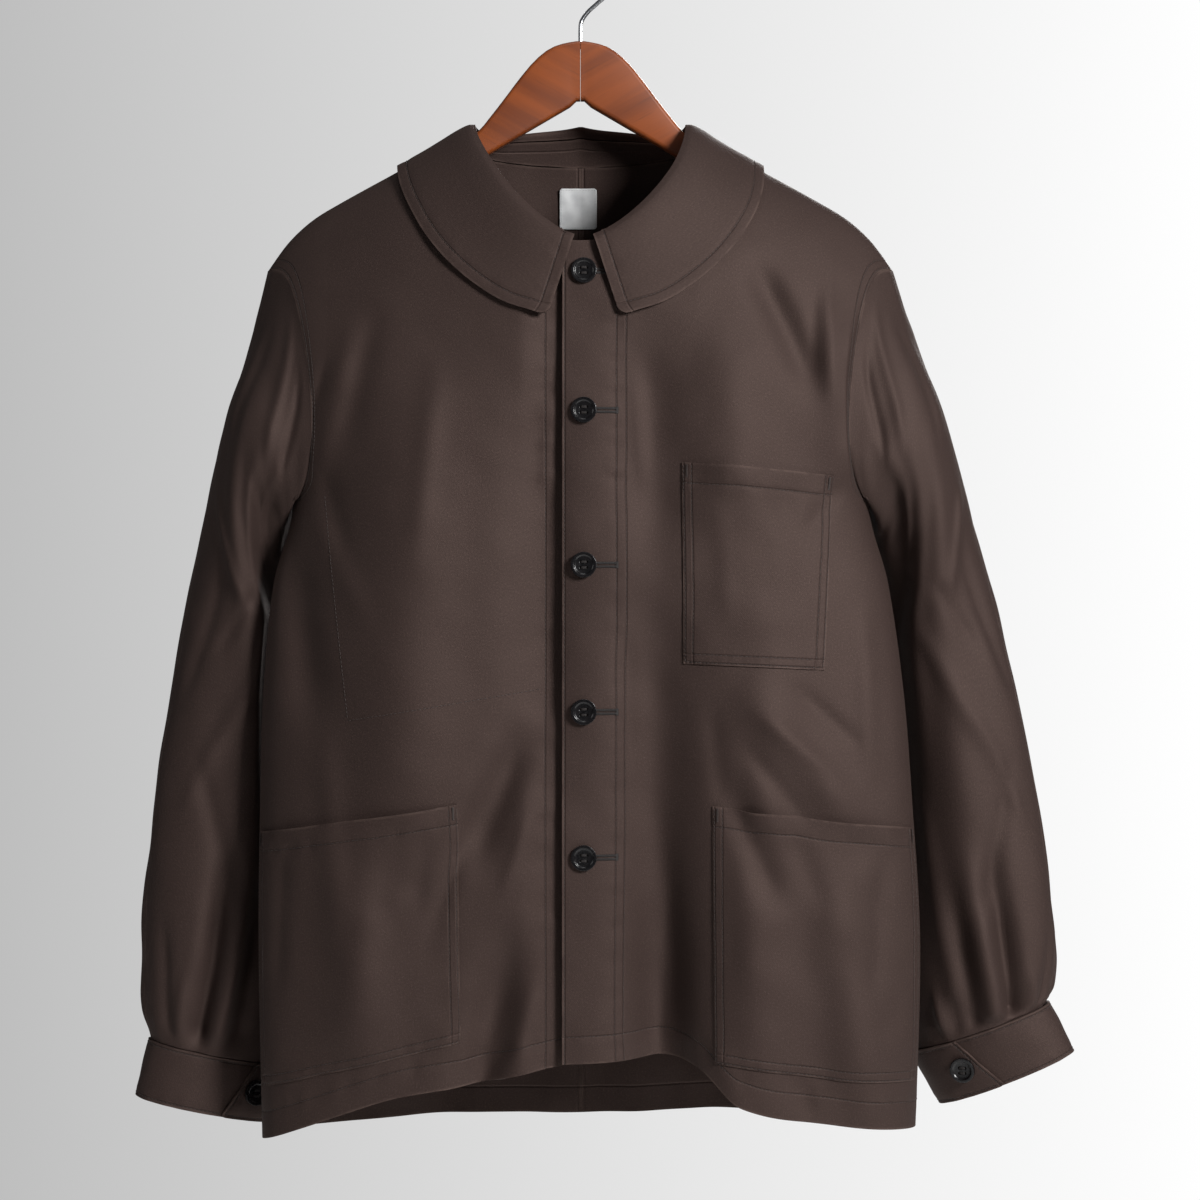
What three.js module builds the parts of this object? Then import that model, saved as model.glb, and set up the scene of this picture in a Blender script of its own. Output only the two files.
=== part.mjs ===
// A chore jacket of brown moleskin, buttoned up, hanging on a wooden clothes hanger.
// Millimetres, +Z up. The jacket's front faces -Y. Left and right are the wearer's, so the
// wearer's left is +X. The origin is the inside top of the hook's bow, where a rail holds it.

import * as THREE from 'three';

// Driving sizes of the jacket
const CLOTH = 2;                 // wall of the cloth
const SEAM_GAP = 0.3;            // between two pieces that are sewn edge to edge
const LAY_GAP = 0.5;             // between a panel and what is sewn on it
const SHOULDER_TIP = { x: 239, z: -238 };
const NECK_POINT_X = 98;         // where the shoulder seam meets the neck seam
const FRONT_NECK_DROP = 84;      // below that point
const BACK_NECK_DROP = 14;
const UNDERARM_Z = -415;
const ARMHOLE_INSET = 26.5;      // how far the armhole seam curves in from the straight
const UNDERARM_TUCK = 2.4;       // how far the panels draw in beside the underarm point
const CLOSURE_X = 3;             // the line of the front buttons
const OVERLAP_EDGE_X = -13;      // edge of the left front, which lies on top
const UNDERLAP_EDGE_X = 20;      // hidden edge of the right front
const UNDERLAP_SET_BACK = 6.5;   // how far the right front lies behind the left one
const SET_BACK_FROM_X = -46;     // where it starts to draw back, and over what width
const SET_BACK_OVER = 32;

// The cloth falls from the hanger: its depth grows with the drop below the shoulder ridge
const RIDGE_RADIUS = 10;
const RIDGE_SPREAD = 60;
const SECTION_ROUNDNESS = 2.4;   // exponent of the superellipse that a level section follows

// A table's rows, each value under its column's name; null leaves a place empty
const table = (columns, rows) => rows.map((row) => Object.fromEntries(
  row.map((value, i) => [columns[i], value]).filter(([, value]) => value !== null)));

// Height of the shoulder ridge at a distance x from the middle, carried on across the neck
const RIDGE = [
  { x: 0, z: -95 },
  { x: 40, z: -106 },
  { x: 80, z: -129 },
  { x: 143, z: -164 },
  { x: 183, z: -186 },
  { x: 205, z: -199.5 },
  { x: 223, z: -216 },
  { x: 239, z: -238 },
  { x: 270, z: -285 },
];

// Level sections of the body: half widths, depths in front and behind, and where the side seam lies
const BODY = [
  { z: -900, right: 240, left: 253, front: 80, back: 60, seam: -26 },
  { z: -750, right: 243, left: 257, front: 82, back: 63, seam: -25 },
  { z: -640, right: 242, left: 251, front: 84, back: 64, seam: -23 },
  { z: -560, right: 240, left: 245, front: 84, back: 62, seam: -20 },
  { z: -478, right: 233, left: 234, front: 82, back: 61, seam: -14 },
  { z: -415, right: 219, left: 220, front: 80, back: 60, seam: -6 },
  { z: -370, right: 236, left: 236, front: 79, back: 60, seam: -2 },
  { z: -300, right: 248, left: 248, front: 78, back: 61, seam: 0 },
  { z: -90, right: 250, left: 250, front: 76, back: 63, seam: 0 },
];

// The lower edge, by its distance from the middle: it rises towards the front buttons
const HEM_RIGHT = [
  { x: -20, z: -832 },
  { x: 10, z: -834 },
  { x: 80, z: -849 },
  { x: 135, z: -858 },
  { x: 176, z: -871 },
  { x: 240, z: -895 },
];
const HEM_LEFT = [
  { x: -13, z: -833 },
  { x: 40, z: -831 },
  { x: 68, z: -830 },
  { x: 90, z: -838 },
  { x: 118, z: -864 },
  { x: 190, z: -879 },
  { x: 253, z: -886 },
];
const HEM_BACK = [
  { x: -240, z: -895 },
  { x: 0, z: -891 },
  { x: 253, z: -886 },
];

// Soft folds: a line on the front or back, its half width, and its depth (out is positive)
const FRONT_FOLDS = [
  { fromX: -74, fromZ: -285, toX: -74, toZ: -590, width: 34, depth: 7 },
  { fromX: -33, fromZ: -290, toX: -28, toZ: -520, width: 13, depth: -6 },
  { fromX: -35, fromZ: -560, toX: -92, toZ: -715, width: 18, depth: -6 },
  { fromX: -44, fromZ: -700, toX: -84, toZ: -960, width: 17, depth: -8 },
  { fromX: -170, fromZ: -500, toX: -150, toZ: -700, width: 30, depth: 5 },
  { fromX: 50, fromZ: -400, toX: 66, toZ: -1060, width: 24, depth: -10 },
  { fromX: 62, fromZ: -600, toX: 68, toZ: -1120, width: 24, depth: -17 },
  { fromX: 50, fromZ: -270, toX: 62, toZ: -385, width: 14, depth: -4 },
  { fromX: 106, fromZ: -250, toX: 158, toZ: -376, width: 16, depth: 5 },
  { fromX: 124, fromZ: -225, toX: 180, toZ: -345, width: 13, depth: -5 },
  { fromX: 128, fromZ: -545, toX: 214, toZ: -660, width: 20, depth: 5 },
];
const BACK_FOLDS = [
  { fromX: 4, fromZ: -420, toX: -14, toZ: -1120, width: 34, depth: -9 },
  { fromX: -92, fromZ: -230, toX: -172, toZ: -420, width: 22, depth: 5 },
  { fromX: 84, fromZ: -220, toX: 168, toZ: -400, width: 20, depth: 6 },
  { fromX: -96, fromZ: -560, toX: -122, toZ: -1080, width: 28, depth: 7 },
  { fromX: 92, fromZ: -480, toX: 118, toZ: -1100, width: 26, depth: 8 },
];

// Named lines of each panel, from the hem up. A level gives the height at the middle edge, the
// places of an inner and an outer line, and the edge: a height on the side seam or an angle
// round the armhole, 180 at the underarm and 0 at the shoulder tip. Steps are the rows up to it.
const LEVEL = ['name', 'steps', 'middleZ', 'innerX', 'innerZ', 'outerX', 'outerZ', 'seamZ', 'armhole'];
const LEFT_FRONT = table(LEVEL, [
  ['hem', 0, -833, 101, -850, 190, -879, -886],
  ['hip pocket foot', 1, -806, 100, -831, 190, -845, -850],
  ['hip pocket mouth', 5, -633, 98, -642, 190, -653, -661],
  ['chest pocket foot', 3, -534, 77, -537, 181, -542, -548],
  ['underarm', 3, -402, 76, -406, 188, -413, UNDERARM_Z],
  ['chest pocket mouth', 2, -383, 76, -388, 190, -397, null, 150],
  ['top', 10, null, null, null, null, null, null, 0],
]);
const RIGHT_FRONT = table(LEVEL, [
  ['hem', 0, -832, 88, -849, 190, -875, -895],
  ['hip pocket foot', 1, -800, 88, -817, 190, -841, -855],
  ['hip pocket mouth', 5, -633, 90, -640, 190, -656, -664],
  ['underarm', 6, -402, 90, -406, 188, -413, UNDERARM_Z],
  ['chest', 2, -383, 90, -388, 190, -397, null, 150],
  ['top', 10, null, null, null, null, null, null, 0],
]);
const HALF_BACK = table(LEVEL, [
  ['hem', 0, -891, 98, -890, 190, -890, -890],
  ['underarm', 10, -405, 98, -408, 188, -413, UNDERARM_Z],
  ['chest', 2, -380, 98, -388, 190, -397, null, 150],
  ['top', 10, null, null, null, null, null, null, 0],
]);
const FRONT_COLUMNS = { neckAngles: [null, 9, 29, 49, 70, 90], outer: 4, edge: 5 };
const BACK_COLUMNS = { neckAngles: [0, 22.5, 45, 67.5, 90], outer: 4, edge: 4 };
const OUTER_LINE_X = 190;        // where the outer line meets the shoulder seam
const EDGE_CROWDING = 1.7;       // how the columns crowd towards the side

// Sleeve sections from the armhole down, each by the ends of its long axis (the outer line that
// shows as the silhouette, and the inner line tucked behind the body) and its half depths. A cuff
// has the angle of its buttoned end too.
const SECTION = ['outerX', 'outerY', 'outerZ', 'innerX', 'innerY', 'innerZ', 'front', 'back', 'tabEnd'];
const RIGHT_SLEEVE = table(SECTION, [
  [239, 0, -238, 219, -6, -415, 52, 42],
  [248, 2, -274, 222, -6, -423, 50, 42],
  [258, 4, -308, 226, -4, -434, 48, 43],
  [270, 5, -345, 230, 4, -448, 46, 44],
  [281, 6, -388, 231, 18, -466, 45, 44],
  [291, 6, -438, 230, 34, -491, 44, 43],
  [302, 5, -500, 224, 48, -527, 43, 42],
  [313, 3, -565, 217, 54, -582, 43, 42],
  [324, 2, -630, 213, 56, -642, 43, 42],
  [331, 1, -695, 212, 56, -705, 43, 42],
  [333, 1, -752, 214, 55, -765, 43, 42],
  [334, 2, -798, 222, 51, -817, 38, 38],
  [329, 3, -826, 231, 46, -849, 31, 31],
]);
const LEFT_SLEEVE = table(SECTION, [
  [239, 0, -238, 220, -6, -415, 52, 42],
  [250, 2, -272, 224, -6, -423, 50, 42],
  [262, 4, -304, 228, -4, -434, 48, 43],
  [276, 5, -340, 232, 4, -448, 46, 44],
  [290, 6, -385, 235, 17, -467, 45, 44],
  [303, 6, -436, 237, 31, -492, 44, 43],
  [319, 5, -500, 234, 44, -529, 43, 42],
  [335, 3, -566, 235, 48, -586, 43, 42],
  [349, 2, -640, 238, 48, -652, 43, 42],
  [359, 1, -705, 243, 46, -718, 43, 42],
  [364, 1, -758, 250, 42, -778, 42, 40],
  [362, 2, -786, 255, 38, -813, 36, 36],
  [357, 3, -798, 259, 34, -837, 30, 30],
]);
const RIGHT_CUFF = table(SECTION, [
  [329, 3, -827, 232, 46, -850, 29, 29, 113],
  [339, 3, -870, 238, 46, -894, 29, 29, 91],
]);
const LEFT_CUFF = table(SECTION, [
  [358, 3, -799, 260, 34, -838, 28, 28, 107],
  [377, 3, -836, 281, 34, -878, 28, 28, 87],
]);

// Folds of the sleeves: angle round the sleeve (90 in front, 270 behind) and the share of its
// length where each starts and ends, half width in degrees, and depth
const RIGHT_SLEEVE_FOLDS = [
  { fromAngle: 62, from: 0.12, toAngle: 92, to: 0.86, width: 15, depth: 5 },
  { fromAngle: 74, from: 0.72, toAngle: 56, to: 1.1, width: 10, depth: -8 },
  { fromAngle: 90, from: 0.7, toAngle: 68, to: 1.1, width: 10, depth: 6 },
  { fromAngle: 250, from: 0.3, toAngle: 285, to: 0.8, width: 22, depth: -6 },
  { fromAngle: 300, from: 0.7, toAngle: 316, to: 1.1, width: 12, depth: -7 },
];
const LEFT_SLEEVE_FOLDS = [
  { fromAngle: 66, from: 0.2, toAngle: 80, to: 0.84, width: 16, depth: 5 },
  { fromAngle: 62, from: 0.7, toAngle: 52, to: 1.1, width: 11, depth: -9 },
  { fromAngle: 80, from: 0.68, toAngle: 70, to: 1.1, width: 10, depth: 6 },
  { fromAngle: 280, from: 0.25, toAngle: 250, to: 0.8, width: 22, depth: -6 },
  { fromAngle: 300, from: 0.7, toAngle: 312, to: 1.1, width: 12, depth: -7 },
];
const SLEEVE_SIDES = 24;
const SETTLED_ROW = 3;           // from here down the sections no longer follow the armhole's curve
const SLEEVE_CLEARANCE = 4;      // to the body that it hangs behind
const UNDERARM_CLEARANCE = 2.6;  // where it starts
const CUFF_UNDERLAP = 42;        // degrees of the cuff hidden under its buttoned end
const CUFF_GRID = { columns: 26, rows: 3 };

// Collar: the roll line round the neck, the leaf's outer edge, and how high the leaf lies
const ROLL = { halfWidth: 79, frontDrop: 92, frontPower: 1.333, backReach: 37 };
const LEAF = { cornerX: 27, cornerZ: -281, middleX: 17, halfWidth: 121, topZ: -163, drop: 118, power: 1.176 };
const LEAF_BACK_REACH = 104;
// Lines across the collar: their angle round the neck seam and along the leaf's outer edge.
// Every second line starts where a column of a front or back panel ends at the neck.
const COLLAR_FRONT_LINES = [
  { neck: 9, leaf: 9 },
  { neck: 19, leaf: 22 },
  { neck: 29, leaf: 35 },
  { neck: 39, leaf: 47 },
  { neck: 49, leaf: 58 },
  { neck: 59.5, leaf: 68 },
  { neck: 70, leaf: 77 },
  { neck: 80, leaf: 84.5 },
];
const COLLAR_BACK_LINES = [
  { neck: 90, leaf: 90 },
  { neck: 78.75, leaf: 84 },
  { neck: 67.5, leaf: 77 },
  { neck: 56.25, leaf: 68 },
  { neck: 45, leaf: 56 },
  { neck: 33.75, leaf: 43 },
  { neck: 22.5, leaf: 29 },
  { neck: 11.25, leaf: 15 },
  { neck: 0, leaf: 0 },
];
// Across the collar: share of the way from the roll to the neck seam (negative) or to the
// outer edge (positive), and the height of its outer face above the body
const COLLAR_SECTION = [
  { along: -0.24, lift: 0.2 },
  { along: -0.08, lift: 0.8 },
  { along: 0, lift: 2.6 },
  { along: 0.07, lift: 5 },
  { along: 0.2, lift: 5.6 },
  { along: 0.42, lift: 5 },
  { along: 0.66, lift: 4.4 },
  { along: 0.85, lift: 4.3 },
  { along: 1, lift: 4.3 },
];
const STAND_FOOT = -0.97;
const STAND_TOP = -0.27;
const STAND_ROWS = 3;

// Buttons, label, hanger and hook
const BUTTON = { radius: 9.5, thickness: 3.2, sides: 18, holeRadius: 1.1, holeSpacing: 2.1, holeSides: 5 };
const FRONT_BUTTON_HEIGHTS = [-246, -349.5, -464, -572.5, -680];
const CUFF_BUTTON_INSET = 14;
const LABEL = { x: -2, top: -169, width: 29, height: 31, thickness: 1, columns: 4, rows: 4 };
const HANGER_CLEARANCE = 1;
const HANGER = [
  { x: 0.15, top: -62.5, bottom: -108, thickness: 12 },
  { x: 12, top: -64, bottom: -115, thickness: 12 },
  { x: 24, top: -68.5, bottom: -122, thickness: 12 },
  { x: 36, top: -78.5, bottom: -129, thickness: 12 },
  { x: 48, top: -93, bottom: -136, thickness: 12 },
  { x: 60, top: -109, bottom: -143, thickness: 12 },
  { x: 71, top: -123, bottom: -149.5, thickness: 12 },
  { x: 79, top: -132.5, bottom: -154.5, thickness: 12 },
  { x: 97, top: -142.6, bottom: -163.5, thickness: 12 },
];
const HANGER_ARM = {
  from: 97, to: 205, height: 22, thickness: 12, stations: 6, sides: 16,
  endDrop: 3.2, endHeight: 16.72, endThickness: 7.2,
};
const WIRE_RADIUS = 1.6;
const BOW_RADIUS = 21.6;         // of the wire's middle, so the inside is at the origin
const BOW = { from: -15, to: 200, step: 17.9 };
const HOOK_STEM = [
  { x: 0, z: -62.1 },
  { x: 0, z: -54 },
  { x: 0.8, z: -47 },
  { x: 5.5, z: -40 },
  { x: 12.5, z: -33.5 },
];

const COLOURS = {
  cloth: '#3d322d',
  clothInside: '#322925',
  button: '#17151a',
  label: '#c9cacb',
  wood: '#8f4a24',
  steel: '#b8babd',
};
const cloth = new THREE.MeshStandardMaterial({ color: COLOURS.cloth, roughness: 0.85, metalness: 0 });
const clothInside = new THREE.MeshStandardMaterial({ color: COLOURS.clothInside, roughness: 0.9, metalness: 0 });
const horn = new THREE.MeshStandardMaterial({ color: COLOURS.button, roughness: 0.25, metalness: 0 });
const woven = new THREE.MeshStandardMaterial({ color: COLOURS.label, roughness: 0.8, metalness: 0 });
const wood = new THREE.MeshStandardMaterial({ color: COLOURS.wood, roughness: 0.3, metalness: 0 });
const steel = new THREE.MeshStandardMaterial({ color: COLOURS.steel, roughness: 0.25, metalness: 1 });

// Small helpers
const lerp = (a, b, share) => a + (b - a) * share;
const clamp = (value, low, high) => Math.min(Math.max(value, low), high);
const smooth = (value) => {
  const t = clamp(value, 0, 1);
  return t * t * (3 - 2 * t);
};
const radians = (degrees) => (degrees * Math.PI) / 180;
const vector = (x, y, z) => new THREE.Vector3(x, y, z);

// A smooth curve through one column of a table, read against another column
function through(rows, key, column) {
  const sorted = [...rows].sort((a, b) => a[key] - b[key]);
  const xs = sorted.map((row) => row[key]);
  const ys = sorted.map((row) => row[column]);
  const slope = (i, j) => (ys[j] - ys[i]) / (xs[j] - xs[i]);
  const last = xs.length - 1;
  const tangents = xs.map((_, i) => slope(Math.max(i - 1, 0), Math.min(i + 1, last)));
  return (value) => {
    const x = clamp(value, xs[0], xs[last]);
    let i = 0;
    while (i < last - 1 && x > xs[i + 1]) i += 1;
    const span = xs[i + 1] - xs[i];
    const t = (x - xs[i]) / span;
    const a = (1 + 2 * t) * (1 - t) * (1 - t) * ys[i] + t * t * (3 - 2 * t) * ys[i + 1];
    return a + span * (t * (1 - t) * (1 - t) * tangents[i] - t * t * (1 - t) * tangents[i + 1]);
  };
}

const ridgeAt = through(RIDGE, 'x', 'z');
const halfWidth = { '-1': through(BODY, 'z', 'right'), 1: through(BODY, 'z', 'left') };
const frontDepth = through(BODY, 'z', 'front');
const backDepth = through(BODY, 'z', 'back');
const seamY = through(BODY, 'z', 'seam');
const hemRight = through(HEM_RIGHT, 'x', 'z');
const hemLeft = through(HEM_LEFT, 'x', 'z');
const hemBack = through(HEM_BACK, 'x', 'z');

// Height of all the folds of a table at a place on the body
function foldsAt(folds, x, z) {
  let sum = 0;
  for (const fold of folds) {
    const dx = fold.toX - fold.fromX;
    const dz = fold.toZ - fold.fromZ;
    const length = Math.hypot(dx, dz);
    const along = ((x - fold.fromX) * dx + (z - fold.fromZ) * dz) / (length * length);
    const aside = ((x - fold.fromX) * dz - (z - fold.fromZ) * dx) / length;
    const ends = smooth(along / 0.35) * smooth((1 - along) / 0.35);
    sum += fold.depth * ends * Math.exp(-((aside / fold.width) ** 2));
  }
  return sum;
}

// The body without folds: y of the front (face -1) or back (face 1) at x and z
function bodyY(x, z, face) {
  const share = Math.min(Math.abs(x) / halfWidth[x < 0 ? -1 : 1](z), 1);
  const drop = Math.max(ridgeAt(Math.abs(x)) - z, 0);
  const reach = Math.sqrt(drop * (drop + 2 * RIDGE_RADIUS));
  const fullness = 1 - Math.exp(-reach / RIDGE_SPREAD);
  const across = (1 - share ** SECTION_ROUNDNESS) ** (1 / SECTION_ROUNDNESS);
  const depth = face < 0 ? frontDepth(z) : backDepth(z);
  return fullness * (seamY(z) * share * share + face * depth * across);
}

// A place given by x and the signed reach from the ridge (front negative), raised by a lift
function overShoulder(x, reach, lift) {
  const at = (px, pr) => {
    const z = ridgeAt(Math.abs(px)) - (Math.sqrt(pr * pr + RIDGE_RADIUS ** 2) - RIDGE_RADIUS);
    return vector(px, bodyY(px, z, Math.sign(pr) || 1), z);
  };
  const step = 0.5;
  const alongX = at(x + step, reach).sub(at(x - step, reach));
  const alongReach = at(x, reach + step).sub(at(x, reach - step));
  const normal = alongX.cross(alongReach).normalize();
  return at(x, reach).addScaledVector(normal, normal.z < -0.2 ? -lift : lift);
}
const reachOf = (x, z) => {
  const drop = Math.max(ridgeAt(Math.abs(x)) - z, 0);
  return Math.sqrt(drop * (drop + 2 * RIDGE_RADIUS));
};

// A point of the armhole seam, by angle from the shoulder tip (0) to the underarm (180)
function armhole(side, face, degrees) {
  const angle = radians(degrees);
  const underarmX = halfWidth[side](UNDERARM_Z);
  const middleX = (SHOULDER_TIP.x + underarmX) / 2;
  const middleZ = (SHOULDER_TIP.z + UNDERARM_Z) / 2;
  const curve = Math.sin(angle) ** (degrees < 90 ? 0.6 : 1);
  const x = middleX + ((SHOULDER_TIP.x - underarmX) / 2) * Math.cos(angle) - ARMHOLE_INSET * curve;
  const z = middleZ + ((SHOULDER_TIP.z - UNDERARM_Z) / 2) * Math.cos(angle);
  return vector(side * x, bodyY(side * x, z, face), z);
}

// A closed solid from a grid of outer points and the same grid of inner points
function solidFromGrids(outer, inner, material, name) {
  const rows = outer.length;
  const columns = outer[0].length;
  const positions = [];
  for (const grid of [outer, inner]) {
    for (const row of grid) {
      for (const point of row) positions.push(point.x, point.y, point.z);
    }
  }
  const index = [];
  const at = (layer, row, column) => layer * rows * columns + row * columns + column;
  const quad = (a, b, c, d) => index.push(a, b, c, a, c, d);
  for (let r = 0; r + 1 < rows; r += 1) {
    for (let c = 0; c + 1 < columns; c += 1) {
      quad(at(0, r, c), at(0, r, c + 1), at(0, r + 1, c + 1), at(0, r + 1, c));
      quad(at(1, r, c), at(1, r + 1, c), at(1, r + 1, c + 1), at(1, r, c + 1));
    }
  }
  for (let c = 0; c + 1 < columns; c += 1) {
    quad(at(0, 0, c), at(1, 0, c), at(1, 0, c + 1), at(0, 0, c + 1));
    quad(at(0, rows - 1, c + 1), at(1, rows - 1, c + 1), at(1, rows - 1, c), at(0, rows - 1, c));
  }
  for (let r = 0; r + 1 < rows; r += 1) {
    quad(at(0, r + 1, 0), at(1, r + 1, 0), at(1, r, 0), at(0, r, 0));
    quad(at(0, r, columns - 1), at(1, r, columns - 1), at(1, r + 1, columns - 1), at(0, r + 1, columns - 1));
  }
  return meshFrom(positions, index, material, name);
}

// A closed solid from rings: an outer and an inner tube joined at both ends
function tubeFromRings(outer, inner, material, name) {
  const rows = outer.length;
  const sides = outer[0].length;
  const positions = [];
  for (const grid of [outer, inner]) {
    for (const row of grid) {
      for (const point of row) positions.push(point.x, point.y, point.z);
    }
  }
  const index = [];
  const at = (layer, row, side) => layer * rows * sides + row * sides + (side % sides);
  const quad = (a, b, c, d) => index.push(a, b, c, a, c, d);
  for (let s = 0; s < sides; s += 1) {
    for (let r = 0; r + 1 < rows; r += 1) {
      quad(at(0, r, s), at(0, r, s + 1), at(0, r + 1, s + 1), at(0, r + 1, s));
      quad(at(1, r, s), at(1, r + 1, s), at(1, r + 1, s + 1), at(1, r, s + 1));
    }
    quad(at(0, 0, s), at(1, 0, s), at(1, 0, s + 1), at(0, 0, s + 1));
    quad(at(0, rows - 1, s + 1), at(1, rows - 1, s + 1), at(1, rows - 1, s), at(0, rows - 1, s));
  }
  return meshFrom(positions, index, material, name);
}

// A closed bar from rings, with a fan of faces over each end
function barFromRings(rings, material, name) {
  const sides = rings[0].length;
  const positions = [];
  for (const ring of rings) {
    for (const point of ring) positions.push(point.x, point.y, point.z);
  }
  const index = [];
  const at = (ring, side) => ring * sides + (side % sides);
  for (let r = 0; r + 1 < rings.length; r += 1) {
    for (let s = 0; s < sides; s += 1) {
      index.push(at(r, s), at(r, s + 1), at(r + 1, s + 1), at(r, s), at(r + 1, s + 1), at(r + 1, s));
    }
  }
  for (let s = 1; s + 1 < sides; s += 1) {
    index.push(at(0, 0), at(0, s + 1), at(0, s));
    index.push(at(rings.length - 1, 0), at(rings.length - 1, s), at(rings.length - 1, s + 1));
  }
  return meshFrom(positions, index, material, name);
}

// Six times the volume that the faces enclose: negative where they point inwards
function signedVolume(positions, index) {
  const a = new THREE.Vector3();
  const b = new THREE.Vector3();
  const c = new THREE.Vector3();
  let sum = 0;
  for (let i = 0; i < index.length; i += 3) {
    a.fromArray(positions, index[i] * 3);
    b.fromArray(positions, index[i + 1] * 3);
    c.fromArray(positions, index[i + 2] * 3);
    sum += a.dot(b.cross(c));
  }
  return sum;
}

function meshFrom(positions, index, material, name) {
  if (signedVolume(positions, index) < 0) {
    for (let i = 0; i < index.length; i += 3) [index[i + 1], index[i + 2]] = [index[i + 2], index[i + 1]];
  }
  const geometry = new THREE.BufferGeometry();
  geometry.setAttribute('position', new THREE.Float32BufferAttribute(positions, 3));
  geometry.setIndex(index);
  geometry.computeVertexNormals();
  const mesh = new THREE.Mesh(geometry, material);
  mesh.name = name;
  return mesh;
}

// Normals of a grid of points by central differences, all on the side that `sign` gives
function gridNormals(grid, sign, closed = false) {
  const rows = grid.length;
  const columns = grid[0].length;
  return grid.map((row, r) => row.map((_, c) => {
    const up = grid[Math.min(r + 1, rows - 1)][c].clone().sub(grid[Math.max(r - 1, 0)][c]);
    const next = closed ? (c + 1) % columns : Math.min(c + 1, columns - 1);
    const previous = closed ? (c + columns - 1) % columns : Math.max(c - 1, 0);
    const across = grid[r][next].clone().sub(grid[r][previous]);
    return across.cross(up).normalize().multiplyScalar(sign);
  }));
}
const moved = (grid, normals, distance) => grid.map((row, r) => row.map((point, c) => (
  point.clone().addScaledVector(normals[r][c], distance))));

// The places of a panel in front view, row by row from the hem to the neck and shoulder seams
function panelPlaces(side, levels, columns, middleX, hem) {
  const innerColumns = columns.neckAngles.length - 1;
  const split = innerColumns + columns.outer;
  const total = split + columns.edge;
  const topPlace = (column) => {
    if (column <= innerColumns) {
      const given = columns.neckAngles[column];
      const angle = given === null ? Math.asin(middleX / NECK_POINT_X) : radians(given);
      return { x: NECK_POINT_X * Math.sin(angle), neck: Math.cos(angle) };
    }
    return { x: lerp(NECK_POINT_X, OUTER_LINE_X, (column - innerColumns) / columns.outer), neck: 0 };
  };
  const keyRow = (level, face) => {
    const row = [];
    for (let column = 0; column <= split; column += 1) {
      if (level.name === 'top') {
        const place = topPlace(column);
        const drop = face < 0 ? FRONT_NECK_DROP : BACK_NECK_DROP;
        const onNeck = column <= innerColumns;
        const z = onNeck ? ridgeAt(NECK_POINT_X) - drop * place.neck : ridgeAt(place.x);
        row.push({ x: place.x, z });
      } else if (column <= innerColumns) {
        const share = column / innerColumns;
        row.push({ x: lerp(middleX, level.innerX, share), z: lerp(level.middleZ, level.innerZ, share) });
      } else {
        const share = (column - innerColumns) / columns.outer;
        row.push({ x: lerp(level.innerX, level.outerX, share), z: lerp(level.innerZ, level.outerZ, share) });
      }
    }
    return row;
  };
  return (face) => {
    const keys = levels.map((level) => keyRow(level, face));
    const rows = [];
    levels.forEach((level, k) => {
      const first = k === 0 ? 0 : 1;
      for (let step = first; step <= level.steps; step += 1) {
        const share = k === 0 ? 0 : step / level.steps;
        const below = levels[Math.max(k - 1, 0)];
        const toTop = level.name === 'top';
        const ease = toTop ? Math.sin((share * Math.PI) / 2) : share;
        const row = keys[k].map((place, c) => ({
          x: k === 0 ? place.x : lerp(keys[k - 1][c].x, place.x, ease),
          z: k === 0 ? place.z : lerp(keys[k - 1][c].z, place.z, ease),
        }));
        let edge;
        let onSeam = false;
        if (level.armhole === undefined || (below.armhole === undefined && share === 0)) {
          const z = k === 0 ? level.seamZ : lerp(below.seamZ, level.seamZ, share);
          edge = { x: halfWidth[side](z), z };
          onSeam = true;
        } else {
          const from = below.armhole === undefined ? 180 : below.armhole;
          const point = armhole(side, face, lerp(from, level.armhole, share));
          edge = { x: side * point.x, z: point.z };
        }
        const outer = row[split];
        for (let c = 1; c <= columns.edge; c += 1) {
          const part = 1 - (1 - c / columns.edge) ** EDGE_CROWDING;
          row.push({ x: lerp(outer.x, edge.x, part), z: lerp(outer.z, edge.z, part) });
        }
        const isTop = toTop && step === level.steps;
        if (k === 0) row.forEach((place) => { place.z = hem(side * place.x); });
        if (isTop) row.forEach((place, c) => { if (c > split) place.z = ridgeAt(place.x); });
        if (level.name === 'underarm' && step === level.steps) row[total - 1].x -= UNDERARM_TUCK;
        rows.push({ places: row, onSeam, isTop });
      }
    });
    return { rows, total, inner: innerColumns };
  };
}

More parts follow.
